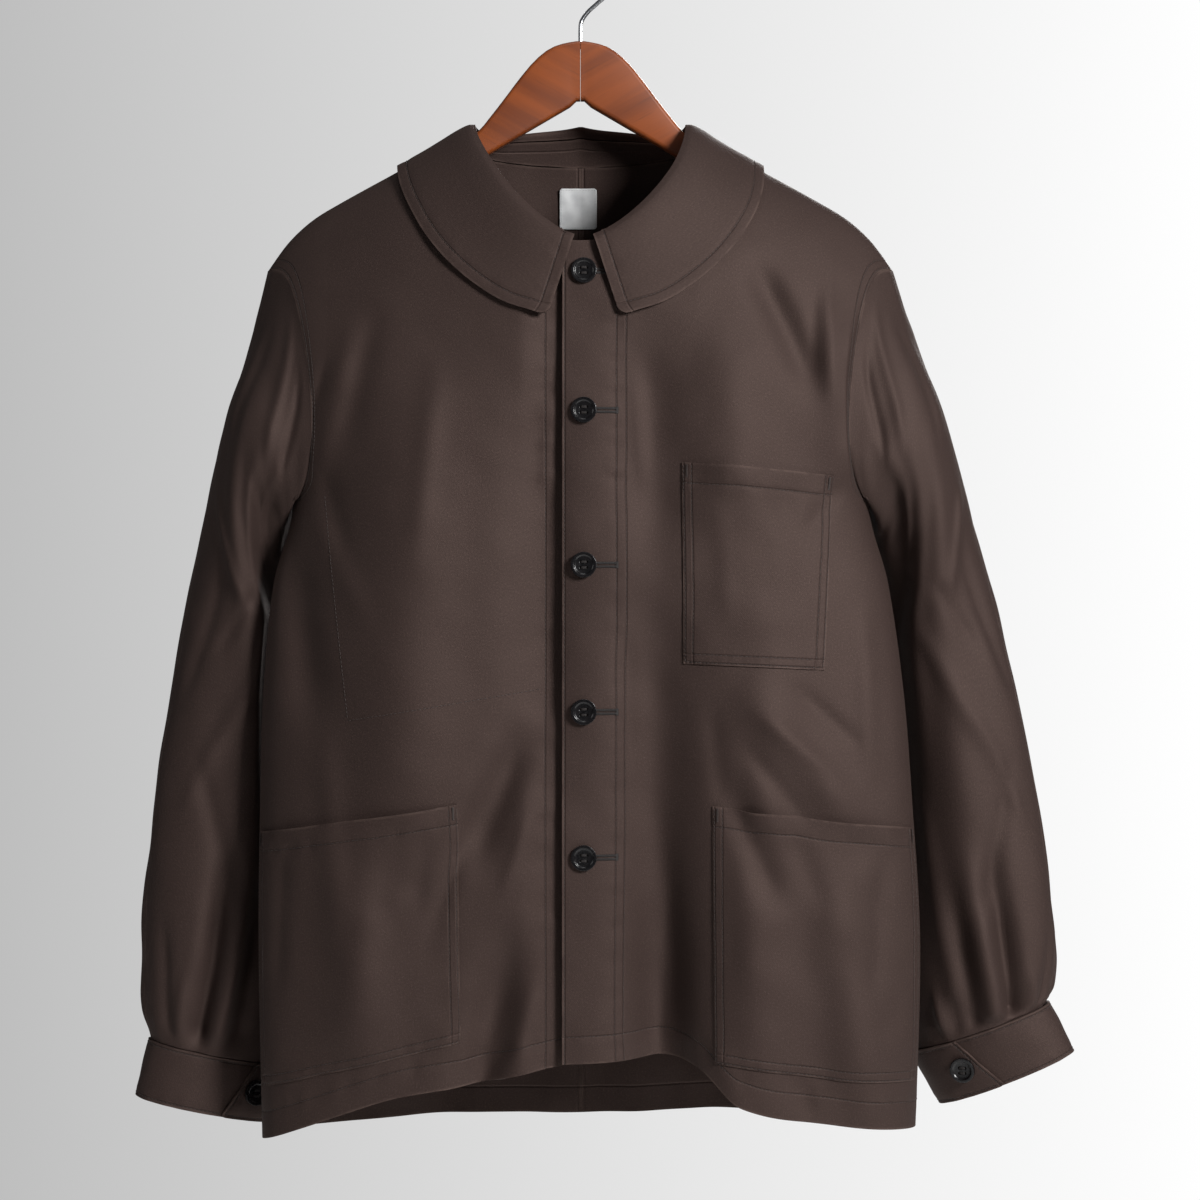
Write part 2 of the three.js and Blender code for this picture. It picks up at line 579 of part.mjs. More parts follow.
// One front or back: its outer points, the normals there, and the solid wall
function buildPanel({ name, side, face, levels, columns, middleX, hem, folds, setBack }) {
  const { rows, total, inner } = panelPlaces(side, levels, columns, middleX, hem)(face);
  const gap = SEAM_GAP / 2;
  const outer = rows.map(({ places, onSeam, isTop }) => places.map((place, c) => {
    const x = side * place.x;
    let y = bodyY(x, place.z, face);
    const fromEdge = smooth((total - c) / 2.5);
    const fromTop = smooth((ridgeAt(Math.abs(x)) - place.z) / 60);
    y += face * foldsAt(folds, x, place.z) * fromEdge * fromTop;
    if (setBack) y += setBack(x);
    if ((onSeam && c === total) || (isTop && c >= inner)) y += face * gap;
    if (!onSeam && c === total) return vector(x, y, place.z);
    return vector(face > 0 && c === 0 ? side * gap : x, y, place.z);
  }));
  const normals = gridNormals(outer, -side * face);
  rows.forEach(({ onSeam, isTop }, r) => {
    if (normals[r][1].y * face < 0) throw new Error(`${name}: normals point inwards`);
    if (onSeam) normals[r][total].set(side, 0, 0);
    if (isTop) {
      for (let c = inner; c <= total; c += 1) {
        normals[r][c].y = 0;
        normals[r][c].normalize();
      }
    }
    if (face > 0) {
      normals[r][0].x = 0;
      normals[r][0].normalize();
    }
  });
  const mesh = solidFromGrids(outer, moved(outer, normals, -CLOTH), cloth, name);
  return { mesh, outer, normals };
}

// A patch pocket: a block of a panel's own points, moved out
function patchPocket(name, panel, firstRow, lastRow, firstColumn, lastColumn) {
  const block = (grid) => grid.slice(firstRow, lastRow + 1).map((row) => row.slice(firstColumn, lastColumn + 1));
  const points = block(panel.outer);
  const normals = block(panel.normals);
  return solidFromGrids(moved(points, normals, LAY_GAP + CLOTH), moved(points, normals, LAY_GAP), cloth, name);
}

// A section of a sleeve or cuff from its table row, at an angle from the outer line (0) round
// the front (90) and the inner line (180)
function sleevePoint(row, side, degrees, grow = 0) {
  const outer = vector(side * row.outerX, row.outerY, row.outerZ);
  const inner = vector(side * row.innerX, row.innerY, row.innerZ);
  const middle = outer.clone().add(inner).multiplyScalar(0.5);
  const long = outer.clone().sub(middle);
  const half = long.length();
  const ahead = vector(0, -1, 0);
  ahead.addScaledVector(long, -ahead.dot(long) / (half * half)).normalize();
  const angle = radians(degrees);
  const depth = Math.sin(angle) > 0 ? row.front : row.back;
  return middle
    .addScaledVector(long, (Math.cos(angle) * (half + grow)) / half)
    .addScaledVector(ahead, Math.sin(angle) * (depth + grow));
}

// Keeps a sleeve point outside the body's section below the underarm, by the shortest way out
function clearOfBody(point, side) {
  if (point.z > UNDERARM_Z + 2) return point;
  const clearance = lerp(UNDERARM_CLEARANCE, SLEEVE_CLEARANCE, smooth((UNDERARM_Z - point.z) / 30));
  const wide = halfWidth[side](point.z) + clearance;
  const n = SECTION_ROUNDNESS;
  for (let step = 0; step < 4; step += 1) {
    const share = (side * point.x) / wide;
    const middle = seamY(point.z) * Math.min(share * share, 1);
    const deep = (point.y < middle ? frontDepth : backDepth)(point.z) + clearance;
    const rise = (point.y - middle) / deep;
    const inside = 1 - Math.abs(share) ** n - Math.abs(rise) ** n;
    if (inside <= 0) break;
    const alongX = (n * Math.abs(share) ** (n - 1)) / wide;
    const alongY = (n * Math.abs(rise) ** (n - 1) * Math.sign(rise)) / deep;
    const push = inside / (alongX * alongX + alongY * alongY);
    point.x += side * alongX * push;
    point.y += alongY * push;
  }
  return point;
}

function sleeveFoldsAt(folds, degrees, share) {
  let sum = 0;
  for (const fold of folds) {
    const part = clamp((share - fold.from) / (fold.to - fold.from), 0, 1);
    const centre = lerp(fold.fromAngle, fold.toAngle, part);
    const aside = ((((degrees - centre) % 360) + 540) % 360) - 180;
    const ends = smooth(part / 0.3) * smooth((1 - part) / 0.3);
    sum += fold.depth * ends * Math.exp(-((aside / fold.width) ** 2));
  }
  return sum;
}

function buildSleeve(name, side, sections, folds) {
  const seam = [];
  const deviation = [];
  for (let s = 0; s < SLEEVE_SIDES; s += 1) {
    const degrees = (360 * s) / SLEEVE_SIDES;
    const face = degrees <= 180 ? -1 : 1;
    const point = armhole(side, face, degrees <= 180 ? degrees : 360 - degrees);
    point.x += side * SEAM_GAP;
    seam.push(point);
    deviation.push(point.clone().sub(sleevePoint(sections[0], side, degrees)));
  }
  const outer = sections.map((row, r) => {
    const share = r / (sections.length - 1);
    const fade = 1 - smooth(r / SETTLED_ROW);
    return seam.map((point, s) => {
      if (r === 0) return point;
      const degrees = (360 * s) / SLEEVE_SIDES;
      const grow = sleeveFoldsAt(folds, degrees, share);
      const place = sleevePoint(row, side, degrees, grow).addScaledVector(deviation[s], fade);
      return clearOfBody(place, side);
    });
  });
  const normals = gridNormals(outer, side, true);
  normals[0].forEach((normal) => normal.setX(0).normalize());
  return tubeFromRings(outer, moved(outer, normals, -CLOTH), cloth, name);
}

// A cuff: a band once round the wrist, its buttoned end lapping over the other
function buildCuff(name, side, sections) {
  const { columns, rows } = CUFF_GRID;
  const wrap = 360 + CUFF_UNDERLAP;
  const outer = [];
  const lifts = CLOTH + LAY_GAP;
  for (let r = 0; r <= rows; r += 1) {
    const share = r / rows;
    const row = {};
    for (const key of Object.keys(sections[0])) row[key] = lerp(sections[0][key], sections[1][key], share);
    const line = [];
    for (let c = 0; c <= columns; c += 1) {
      const turned = (wrap * c) / columns;
      const degrees = row.tabEnd + CUFF_UNDERLAP - turned;
      const grow = CLOTH + lifts * smooth((turned - 300) / 40);
      line.push(sleevePoint(row, side, degrees, grow));
    }
    outer.push(line);
  }
  const normals = gridNormals(outer, -side);
  return { mesh: solidFromGrids(outer, moved(outer, normals, -CLOTH), cloth, name), outer, normals };
}

// The collar's lines, from the right front edge round the back to the left front edge. Each
// has its place on the neck seam, on the roll and on the leaf's outer edge, as x and reach.
function collarLines() {
  const neckBack = reachOf(0, ridgeAt(NECK_POINT_X) - BACK_NECK_DROP);
  const frontHalf = COLLAR_FRONT_LINES.map(({ neck, leaf }, i) => {
    const sine = Math.sin(radians(neck));
    const cosine = Math.cos(radians(neck));
    const rollX = ROLL.halfWidth * sine ** ROLL.frontPower;
    const rollZ = ridgeAt(ROLL.halfWidth) - ROLL.frontDrop * cosine ** ROLL.frontPower;
    const neckZ = ridgeAt(NECK_POINT_X) - FRONT_NECK_DROP * cosine;
    const leafX = LEAF.middleX + LEAF.halfWidth * Math.sin(radians(leaf)) ** LEAF.power;
    const leafZ = LEAF.topZ - LEAF.drop * Math.cos(radians(leaf)) ** LEAF.power;
    const corner = [LEAF.cornerX, -reachOf(LEAF.cornerX, LEAF.cornerZ)];
    return {
      neck: [NECK_POINT_X * sine, -reachOf(NECK_POINT_X * sine, neckZ)],
      roll: [rollX, -reachOf(rollX, rollZ)],
      leaf: i === 0 ? corner : [leafX, -reachOf(leafX, leafZ)],
    };
  });
  const backHalf = COLLAR_BACK_LINES.map(({ neck, leaf }) => {
    const sine = Math.sin(radians(neck));
    const cosine = Math.cos(radians(neck));
    const neckZ = ridgeAt(NECK_POINT_X) - BACK_NECK_DROP * cosine;
    return {
      neck: [NECK_POINT_X * sine, reachOf(NECK_POINT_X * sine, neckZ)],
      roll: [ROLL.halfWidth * sine, ROLL.backReach * cosine],
      leaf: [
        (LEAF.middleX + LEAF.halfWidth) * Math.sin(radians(leaf)),
        LEAF_BACK_REACH * Math.cos(radians(leaf)),
      ],
    };
  });
  const half = [...frontHalf, ...backHalf];
  for (let i = 1; i + 1 < half.length; i += 2) {
    half[i].neck = [0, 1].map((k) => (half[i - 1].neck[k] + half[i + 1].neck[k]) / 2);
  }
  const mirror = ({ neck, roll, leaf }) => ({
    neck: [-neck[0], neck[1]], roll: [-roll[0], roll[1]], leaf: [-leaf[0], leaf[1]],
  });
  return [...half.map(mirror), ...half.slice(0, -1).reverse()];
}

function collarPoint(line, along, lift) {
  const end = along < 0 ? line.neck : line.leaf;
  const share = Math.abs(along);
  const x = lerp(line.roll[0], end[0], share);
  const reach = lerp(line.roll[1], end[1], share);
  const shift = CLOSURE_X * smooth(-reach / 60);
  const point = overShoulder(x, reach, lift);
  point.x += shift;
  return point;
}

function buildCollar(name) {
  const lines = collarLines();
  const outer = COLLAR_SECTION.map(({ along, lift }) => lines.map((line) => collarPoint(line, along, lift)));
  const normals = gridNormals(outer, 1);
  return solidFromGrids(outer, moved(outer, normals, -CLOTH), cloth, name);
}

function buildStand(name) {
  const lines = collarLines().slice(2, -2);
  const outer = [];
  for (let r = 0; r <= STAND_ROWS; r += 1) {
    const along = lerp(STAND_FOOT, STAND_TOP, r / STAND_ROWS);
    outer.push(lines.map((line) => collarPoint(line, along, 0)));
  }
  const normals = gridNormals(outer, 1);
  return solidFromGrids(outer, moved(outer, normals, -CLOTH), clothInside, name);
}

// A four-hole button, its flat back on a point and its face along a direction
function buildButton(name, seat, direction) {
  const circle = (x, y, radius, sides, turn) => {
    const points = [];
    for (let i = 0; i < sides; i += 1) {
      const angle = (turn * 2 * Math.PI * i) / sides;
      points.push(new THREE.Vector2(x + radius * Math.cos(angle), y + radius * Math.sin(angle)));
    }
    return points;
  };
  const disc = new THREE.Shape(circle(0, 0, BUTTON.radius, BUTTON.sides, 1));
  for (const [sx, sy] of [[1, 1], [-1, 1], [-1, -1], [1, -1]]) {
    const { holeSpacing, holeRadius, holeSides } = BUTTON;
    disc.holes.push(new THREE.Path(circle(sx * holeSpacing, sy * holeSpacing, holeRadius, holeSides, -1)));
  }
  const options = { depth: BUTTON.thickness, bevelEnabled: false };
  const mesh = new THREE.Mesh(new THREE.ExtrudeGeometry(disc, options), horn);
  mesh.quaternion.setFromUnitVectors(vector(0, 0, 1), direction);
  mesh.position.copy(seat);
  mesh.name = name;
  return mesh;
}

// Where a button rests on a mesh: found along a line of sight, on the highest place under its rim
function buttonSeat(mesh, from, towards) {
  const look = (start) => new THREE.Raycaster(start, towards).intersectObject(mesh)[0];
  mesh.updateMatrixWorld(true);
  const middle = look(from);
  const direction = middle.face.normal.clone();
  const aside = vector(0, 0, 1).cross(direction).normalize();
  const up = direction.clone().cross(aside);
  let highest = 0;
  for (let i = 0; i < 8; i += 1) {
    const angle = (Math.PI * i) / 4;
    const start = from.clone()
      .addScaledVector(aside, BUTTON.radius * Math.cos(angle))
      .addScaledVector(up, BUTTON.radius * Math.sin(angle));
    const hit = look(start);
    if (hit) highest = Math.max(highest, hit.point.sub(middle.point).dot(direction));
  }
  return { seat: middle.point.addScaledVector(direction, highest + LAY_GAP), direction };
}

function buildLabel(name) {
  const outer = [];
  for (let r = 0; r <= LABEL.rows; r += 1) {
    const z = LABEL.top - (LABEL.height * r) / LABEL.rows;
    const line = [];
    for (let c = 0; c <= LABEL.columns; c += 1) {
      const x = LABEL.x + LABEL.width * (c / LABEL.columns - 0.5);
      line.push(vector(x, bodyY(x, z, 1), z));
    }
    outer.push(line);
  }
  const normals = gridNormals(outer, 1);
  const near = CLOTH + LAY_GAP;
  return solidFromGrids(moved(outer, normals, -near), moved(outer, normals, -near - LABEL.thickness), woven, name);
}

// Half of the hanger's wood: rounded sections from the middle joint to the end of the arm
function buildHangerHalf(name, side) {
  const stations = [...HANGER];
  for (let i = 1; i <= HANGER_ARM.stations; i += 1) {
    const x = lerp(HANGER_ARM.from, HANGER_ARM.to, i / HANGER_ARM.stations);
    const top = ridgeAt(x) - CLOTH / Math.cos(Math.PI / 6) - HANGER_CLEARANCE;
    const full = i < HANGER_ARM.stations;
    stations.push({
      x,
      top: full ? top : top - HANGER_ARM.endDrop,
      bottom: top - (full ? HANGER_ARM.height : HANGER_ARM.endHeight),
      thickness: full ? HANGER_ARM.thickness : HANGER_ARM.endThickness,
    });
  }
  const rings = stations.map(({ x, top, bottom, thickness }) => {
    const ring = [];
    const radius = thickness / 2;
    for (let s = 0; s < HANGER_ARM.sides; s += 1) {
      const angle = (2 * Math.PI * (s + 0.5)) / HANGER_ARM.sides;
      const end = Math.sin(angle) > 0 ? top - radius : bottom + radius;
      ring.push(vector(side * x, radius * Math.cos(angle), end + radius * Math.sin(angle)));
    }
    return ring;
  });
  return barFromRings(rings, wood, name);
}

function buildHook(name) {
  const points = HOOK_STEM.map(({ x, z }) => vector(x, 0, z));
  for (let degrees = BOW.from; degrees <= BOW.to; degrees += BOW.step) {
    const angle = radians(degrees);
    const height = BOW_RADIUS * (Math.sin(angle) - 1) + WIRE_RADIUS;
    points.push(vector(BOW_RADIUS * Math.cos(angle), 0, height));
  }
  const path = new THREE.CatmullRomCurve3(points, false, 'centripetal');
  const wire = new THREE.Shape().absarc(0, 0, WIRE_RADIUS, 0, Math.PI * 2, false);
  const geometry = new THREE.ExtrudeGeometry(wire, { steps: 34, extrudePath: path, curveSegments: 4 });
  const mesh = new THREE.Mesh(geometry, steel);
  mesh.name = name;
  return mesh;
}

// The jacket is put together
const jacket = new THREE.Group();
const front = { face: -1, folds: FRONT_FOLDS, columns: FRONT_COLUMNS };
const back = { face: 1, folds: BACK_FOLDS, columns: BACK_COLUMNS, levels: HALF_BACK, middleX: 0 };
const setBack = (x) => UNDERLAP_SET_BACK * smooth((x - SET_BACK_FROM_X) / SET_BACK_OVER);
const frontLeft = buildPanel({
  ...front, name: 'front_left', side: 1, levels: LEFT_FRONT, middleX: OVERLAP_EDGE_X, hem: hemLeft,
});
const frontRight = buildPanel({
  ...front, name: 'front_right', side: -1, levels: RIGHT_FRONT, middleX: -UNDERLAP_EDGE_X,
  hem: (x) => hemRight(-x), setBack,
});
const backLeft = buildPanel({ ...back, name: 'back_left', side: 1, hem: hemBack });
const backRight = buildPanel({ ...back, name: 'back_right', side: -1, hem: hemBack });
jacket.add(frontLeft.mesh, frontRight.mesh, backLeft.mesh, backRight.mesh);

const pocketInner = FRONT_COLUMNS.neckAngles.length - 1;
const pocketOuter = pocketInner + FRONT_COLUMNS.outer;
const nearSeam = pocketOuter + FRONT_COLUMNS.edge - 1;
jacket.add(patchPocket('hip_pocket_left', frontLeft, 1, 6, pocketInner, nearSeam));
jacket.add(patchPocket('hip_pocket_right', frontRight, 1, 6, pocketInner, nearSeam));
jacket.add(patchPocket('chest_pocket', frontLeft, 9, 14, pocketInner, pocketOuter));

jacket.add(buildSleeve('sleeve_left', 1, LEFT_SLEEVE, LEFT_SLEEVE_FOLDS));
jacket.add(buildSleeve('sleeve_right', -1, RIGHT_SLEEVE, RIGHT_SLEEVE_FOLDS));
jacket.add(buildCollar('collar'), buildStand('collar_stand'));

FRONT_BUTTON_HEIGHTS.forEach((z, i) => {
  const { seat, direction } = buttonSeat(frontLeft.mesh, vector(CLOSURE_X, -200, z), vector(0, 1, 0));
  jacket.add(buildButton(`front_button_${i + 1}`, seat, direction));
});
for (const [word, side, sections] of [['left', 1, LEFT_CUFF], ['right', -1, RIGHT_CUFF]]) {
  const cuff = buildCuff(`cuff_${word}`, side, sections);
  jacket.add(cuff.mesh);
  const end = cuff.outer[0].length - 1;
  const middle = cuff.outer[1][end].clone().lerp(cuff.outer[2][end], 0.5);
  const inwards = cuff.outer[1][end - 1].clone().lerp(cuff.outer[2][end - 1], 0.5).sub(middle).normalize();
  const outwards = cuff.normals[1][end - 1];
  const from = middle.addScaledVector(inwards, CUFF_BUTTON_INSET).addScaledVector(outwards, 30);
  const { seat, direction } = buttonSeat(cuff.mesh, from, outwards.clone().negate());
  jacket.add(buildButton(`cuff_button_${word}`, seat, direction));
}
jacket.add(buildLabel('neck_label'));
jacket.add(buildHangerHalf('hanger_half_left', 1), buildHangerHalf('hanger_half_right', -1));
jacket.add(buildHook('hanger_hook'));

export default jacket;
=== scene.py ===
# %% [markdown]
# # A chore jacket on its hanger
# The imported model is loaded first: it fixes where each piece of the jacket hangs. Everything
# after that replaces a plain solid by cloth, horn, wood or wire in the same place. All the
# shapes are worked out in millimetres and set down in metres.

# %% Load the frame
import math
import bpy
import numpy as np
from mathutils import Matrix, Quaternion, Vector


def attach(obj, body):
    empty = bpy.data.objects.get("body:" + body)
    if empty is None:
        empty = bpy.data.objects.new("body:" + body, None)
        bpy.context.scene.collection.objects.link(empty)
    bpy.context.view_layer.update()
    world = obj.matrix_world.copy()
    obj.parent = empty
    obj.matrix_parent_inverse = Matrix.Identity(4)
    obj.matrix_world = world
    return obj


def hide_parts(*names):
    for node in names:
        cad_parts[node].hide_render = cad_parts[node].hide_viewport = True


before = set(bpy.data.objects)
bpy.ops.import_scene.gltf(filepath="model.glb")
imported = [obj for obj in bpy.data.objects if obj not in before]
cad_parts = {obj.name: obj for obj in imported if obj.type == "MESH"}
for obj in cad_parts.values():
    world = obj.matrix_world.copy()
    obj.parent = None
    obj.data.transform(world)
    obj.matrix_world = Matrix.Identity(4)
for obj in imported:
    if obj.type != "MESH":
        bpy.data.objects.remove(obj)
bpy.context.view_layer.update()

MM = 0.001
print("nodes in the frame:", len(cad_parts))

# %% [markdown]
# ## The camera
# The photograph looks straight at the front from about two metres, a hand's breadth below the
# middle of the chest, so the camera is level and needs no shift.

# %% Camera
bpy.ops.object.camera_add(location=(0.015, -2.2, -0.49), rotation=(math.radians(90), 0, 0))
camera = bpy.context.object
camera.name = "camera"
camera.data.sensor_width = 36
camera.data.lens = 36 * 2872.5 / 1200
camera.data.clip_end = 50
bpy.context.scene.camera = camera
print("lens", round(camera.data.lens, 2))

# %% [markdown]
# ## The sizes of the jacket
# A cutter works from a few measures: the slope of the shoulder, the level sections of the body,
# the line of the hem. Each is a short table, read as a smooth curve, so a fine mesh and a coarse
# one lie on the same surface.

# %% Small helpers for curves
def rows(columns, *values):
    """Table rows as dictionaries, None left out."""
    names = columns.split()
    return [{n: v for n, v in zip(names, row) if v is not None} for row in values]

def lerp(a, b, share):
    return a + (b - a) * share

def smooth(value):
    t = np.clip(value, 0, 1)
    return t * t * (3 - 2 * t)

def curve(xs, ys):
    """A smooth curve through points."""
    xs, ys = (np.array(v, float) for v in zip(*sorted(zip(xs, ys))))
    low, high = np.maximum(np.arange(len(xs)) - 1, 0), np.minimum(np.arange(len(xs)) + 1, len(xs) - 1)
    slopes = (ys[high] - ys[low]) / (xs[high] - xs[low])

    def read(value):
        x = np.clip(value, xs[0], xs[-1])
        i = np.clip(np.searchsorted(xs, x, side="right") - 1, 0, len(xs) - 2)
        span = xs[i + 1] - xs[i]
        t = (x - xs[i]) / span
        ends = (1 + 2 * t) * (1 - t) ** 2 * ys[i] + t * t * (3 - 2 * t) * ys[i + 1]
        return ends + span * (t * (1 - t) ** 2 * slopes[i] - t * t * (1 - t) * slopes[i + 1])
    return read

def through(table, key, column):
    return curve([row[key] for row in table], [row[column] for row in table])

def wander(x, z, size, seed, waves=20):
    """A soft uneven field, about -1 to 1, with hills about a size apart."""
    chance = np.random.default_rng(seed)
    total = 0
    for _ in range(waves):
        turn, pitch, phase = chance.uniform(0, np.pi), size * chance.uniform(0.7, 1.7), chance.uniform(0, 6.28)
        total = total + np.sin(6.283 * (x * np.cos(turn) + z * np.sin(turn)) / pitch + phase)
    return total * math.sqrt(2 / waves) * 0.6

# %% Measures of the body
SEAM_GAP, LAY_GAP, CLOTH = 0.3, 0.5, 2
SHOULDER_TIP_X, SHOULDER_TIP_Z = 239, -238
NECK_POINT_X, FRONT_NECK_DROP, BACK_NECK_DROP = 98, 84, 14
UNDERARM_Z, ARMHOLE_INSET, UNDERARM_TUCK = -415, 26.5, 2.4
CLOSURE_X, OVERLAP_EDGE_X, UNDERLAP_EDGE_X = 3, -13, 20
UNDERLAP_SET_BACK, SET_BACK_FROM_X, SET_BACK_OVER = 6.5, -46, 32
RIDGE_RADIUS, RIDGE_SPREAD, ROUNDNESS = 10, 60, 2.4

RIDGE = rows("x z", (0, -95), (40, -106), (80, -129), (143, -164), (183, -186), (205, -199.5),
             (223, -216), (239, -238), (270, -285))
BODY = rows("z right left front back seam",
            (-900, 240, 253, 80, 60, -26), (-750, 243, 257, 82, 63, -25), (-640, 242, 251, 84, 64, -23),
            (-560, 240, 245, 84, 62, -20), (-478, 233, 234, 82, 61, -14), (-415, 219, 220, 80, 60, -6),
            (-370, 236, 236, 79, 60, -2), (-300, 248, 248, 78, 61, 0), (-90, 250, 250, 76, 63, 0))
HEM_RIGHT = rows("x z", (-20, -832), (10, -834), (80, -849), (135, -858), (176, -871), (240, -895))
HEM_LEFT = rows("x z", (-13, -833), (40, -831), (68, -830), (90, -838), (118, -864), (190, -879), (253, -886))
HEM_BACK = rows("x z", (-240, -895), (0, -891), (253, -886))

ridge_at = through(RIDGE, "x", "z")
half_width = {-1: through(BODY, "z", "right"), 1: through(BODY, "z", "left")}
front_depth, back_depth = through(BODY, "z", "front"), through(BODY, "z", "back")
seam_y = through(BODY, "z", "seam")
hem_right, hem_left, hem_back = (through(t, "x", "z") for t in (HEM_RIGHT, HEM_LEFT, HEM_BACK))
print("back length", round(float(ridge_at(98) - 14 - hem_back(0))), "mm")

# %% Folds of the body
FOLD = "from_x from_z to_x to_z width depth"
FRONT_FOLDS = rows(FOLD,
    (-122, -270, -134, -760, 46, 15), (-34, -290, -30, -660, 22, -8), (-36, -574, -86, -700, 14, -10),
    (-46, -716, -92, -930, 17, -13), (-64, -905, -78, -1040, 12, 8), (-176, -640, -150, -880, 28, 9),
    (56, -400, 58, -1120, 26, -18), (62, -640, 66, -1140, 20, -14), (134, -430, 132, -1000, 30, 10),
    (46, -262, 60, -480, 24, -9), (112, -262, 122, -470, 26, 7), (198, -250, 206, -440, 22, 9),
    (124, -225, 184, -350, 11, -7), (116, -546, 220, -672, 16, 8), (176, -640, 226, -920, 22, 8),
    (-216, -430, -196, -600, 16, -8), (106, -610, 150, -730, 12, -6))
BACK_FOLDS = rows(FOLD,
    (4, -420, -14, -1120, 34, -9), (-92, -230, -172, -420, 22, 5), (84, -220, 168, -400, 20, 6),
    (-96, -560, -122, -1080, 28, 10), (92, -480, 118, -1100, 26, 10),
    (40, -600, 46, -1100, 20, -8), (-180, -460, -60, -560, 18, -4), (180, -450, 70, -540, 18, -4))
FRONT_CREASES = rows(FOLD,
    (-104, -296, -122, -480, 10, 2.2), (-150, -262, -176, -390, 9, -2.4), (-168, -270, -200, -420, 8, 2.2),
    (-186, -300, -214, -392, 5, -1.8), (-196, -380, -170, -470, 8, -2.2), (-206, -410, -150, -520, 9, 2.0),
    (-60, -596, -118, -760, 8, -2.6), (-34, -640, -60, -716, 6, 2.0), (-22, -330, -26, -420, 5, 1.6),
    (-52, -806, -96, -905, 8, -2.6), (-30, -760, -54, -850, 7, 1.8), (-190, -560, -176, -760, 10, 2.2),
    (-120, -700, -170, -740, 8, 1.6), (-216, -640, -224, -800, 7, -2.0), (186, -236, 186, -352, 5, 2.4),
    (174, -250, 176, -330, 4, -1.6), (200, -300, 206, -390, 4, -1.8), (204, -392, 160, -450, 8, -1.8),
    (150, -548, 214, -604, 6, -2.6), (120, -566, 200, -628, 5, 2.2), (116, -590, 172, -660, 6, -2.0),
    (96, -560, 106, -650, 7, -1.6), (60, -640, 84, -900, 8, -2.6), (96, -800, 128, -900, 9, 2.2),
    (40, -300, 48, -420, 6, 1.8), (34, -500, 38, -640, 6, -1.6), (212, -480, 216, -640, 8, 2.2),
    (226, -660, 214, -800, 8, -2.0), (150, -830, 176, -880, 8, -1.8))
BACK_CREASES = rows(FOLD,
    (-40, -240, -120, -380, 9, -1.5), (36, -230, 120, -360, 9, -1.4), (-150, -430, -170, -620, 10, 1.6),
    (150, -440, 176, -600, 10, 1.5), (-60, -600, -76, -900, 12, -1.8), (44, -560, 66, -900, 12, -1.6),
    (-120, -300, -60, -330, 8, 1.2), (200, -700, 196, -880, 9, 1.4), (-200, -690, -196, -880, 9, 1.4))

def folds_at(folds, x, z):
    """Height of all the folds of a table at places on the body."""
    total = 0
    for fold in folds:
        dx, dz = fold["to_x"] - fold["from_x"], fold["to_z"] - fold["from_z"]
        length = math.hypot(dx, dz)
        along = ((x - fold["from_x"]) * dx + (z - fold["from_z"]) * dz) / length ** 2
        aside = ((x - fold["from_x"]) * dz - (z - fold["from_z"]) * dx) / length
        ends = smooth(along / 0.35) * smooth((1 - along) / 0.35)
        total = total + fold["depth"] * ends * np.exp(-(aside / fold["width"]) ** 2)
    return total

# %% The surface of the body
def body_y(x, z, face):
    """y of the front (face -1) or back (face 1), without folds."""
    wide = np.where(x < 0, half_width[-1](z), half_width[1](z))
    share = np.minimum(np.abs(x) / wide, 1)
    drop = np.maximum(ridge_at(np.abs(x)) - z, 0)
    reach = np.sqrt(drop * (drop + 2 * RIDGE_RADIUS))
    fullness = 1 - np.exp(-reach / RIDGE_SPREAD)
    across = np.maximum(1 - share ** ROUNDNESS, 0) ** (1 / ROUNDNESS)
    depth = np.where(np.less(face, 0), front_depth(z), back_depth(z))
    return fullness * (seam_y(z) * share * share + face * depth * across)

def reach_of(x, z):
    drop = np.maximum(ridge_at(np.abs(x)) - z, 0)
    return np.sqrt(drop * (drop + 2 * RIDGE_RADIUS))

def on_shoulder(x, reach):
    z = ridge_at(np.abs(x)) - (np.sqrt(reach ** 2 + RIDGE_RADIUS ** 2) - RIDGE_RADIUS)
    return np.stack([x, body_y(x, z, np.where(reach < 0, -1, 1)), z], -1)

def over_shoulder(x, reach, lift, step=0.5):
    """A place given by x and the signed reach from the shoulder ridge, raised by a lift."""
    across = on_shoulder(x + step, reach) - on_shoulder(x - step, reach)
    down = on_shoulder(x, reach + step) - on_shoulder(x, reach - step)
    normal = np.cross(across, down)
    normal /= np.linalg.norm(normal, axis=-1, keepdims=True)
    normal *= np.where(normal[..., 2:] < -0.2, -1, 1)
    return on_shoulder(x, reach) + normal * np.asarray(lift)[..., None]

def armhole(side, face, degrees):
    """Points of the armhole seam: 0 at the shoulder tip, 180 at the underarm."""
    angle = np.radians(degrees)
    under_x = half_width[side](UNDERARM_Z)
    inset = ARMHOLE_INSET * np.maximum(np.sin(angle), 0) ** np.where(degrees < 90, 0.6, 1)
    x = (SHOULDER_TIP_X + under_x) / 2 + (SHOULDER_TIP_X - under_x) / 2 * np.cos(angle) - inset
    z = (SHOULDER_TIP_Z + UNDERARM_Z) / 2 + (SHOULDER_TIP_Z - UNDERARM_Z) / 2 * np.cos(angle)
    return np.stack([side * x, body_y(side * x, z, face), z], -1)

# %% [markdown]
# ## From a grid of points to a piece of cloth
# Cloth on a hanger is a sheet, so each piece starts as a grid of points in code. A helper makes
# the mesh, keeps for each point how far it lies from the four edges (the stitching follows those
# distances), and gives the sheet its thickness with a rounded rim.

# %% Grid helpers
def lengths(points, axis):
    """Length along a grid from its first row or column to each point."""
    step = np.linalg.norm(np.diff(points, axis=axis), axis=-1)
    start = np.zeros_like(np.take(step, [0], axis=axis))
    return np.concatenate([start, np.cumsum(step, axis=axis)], axis=axis)

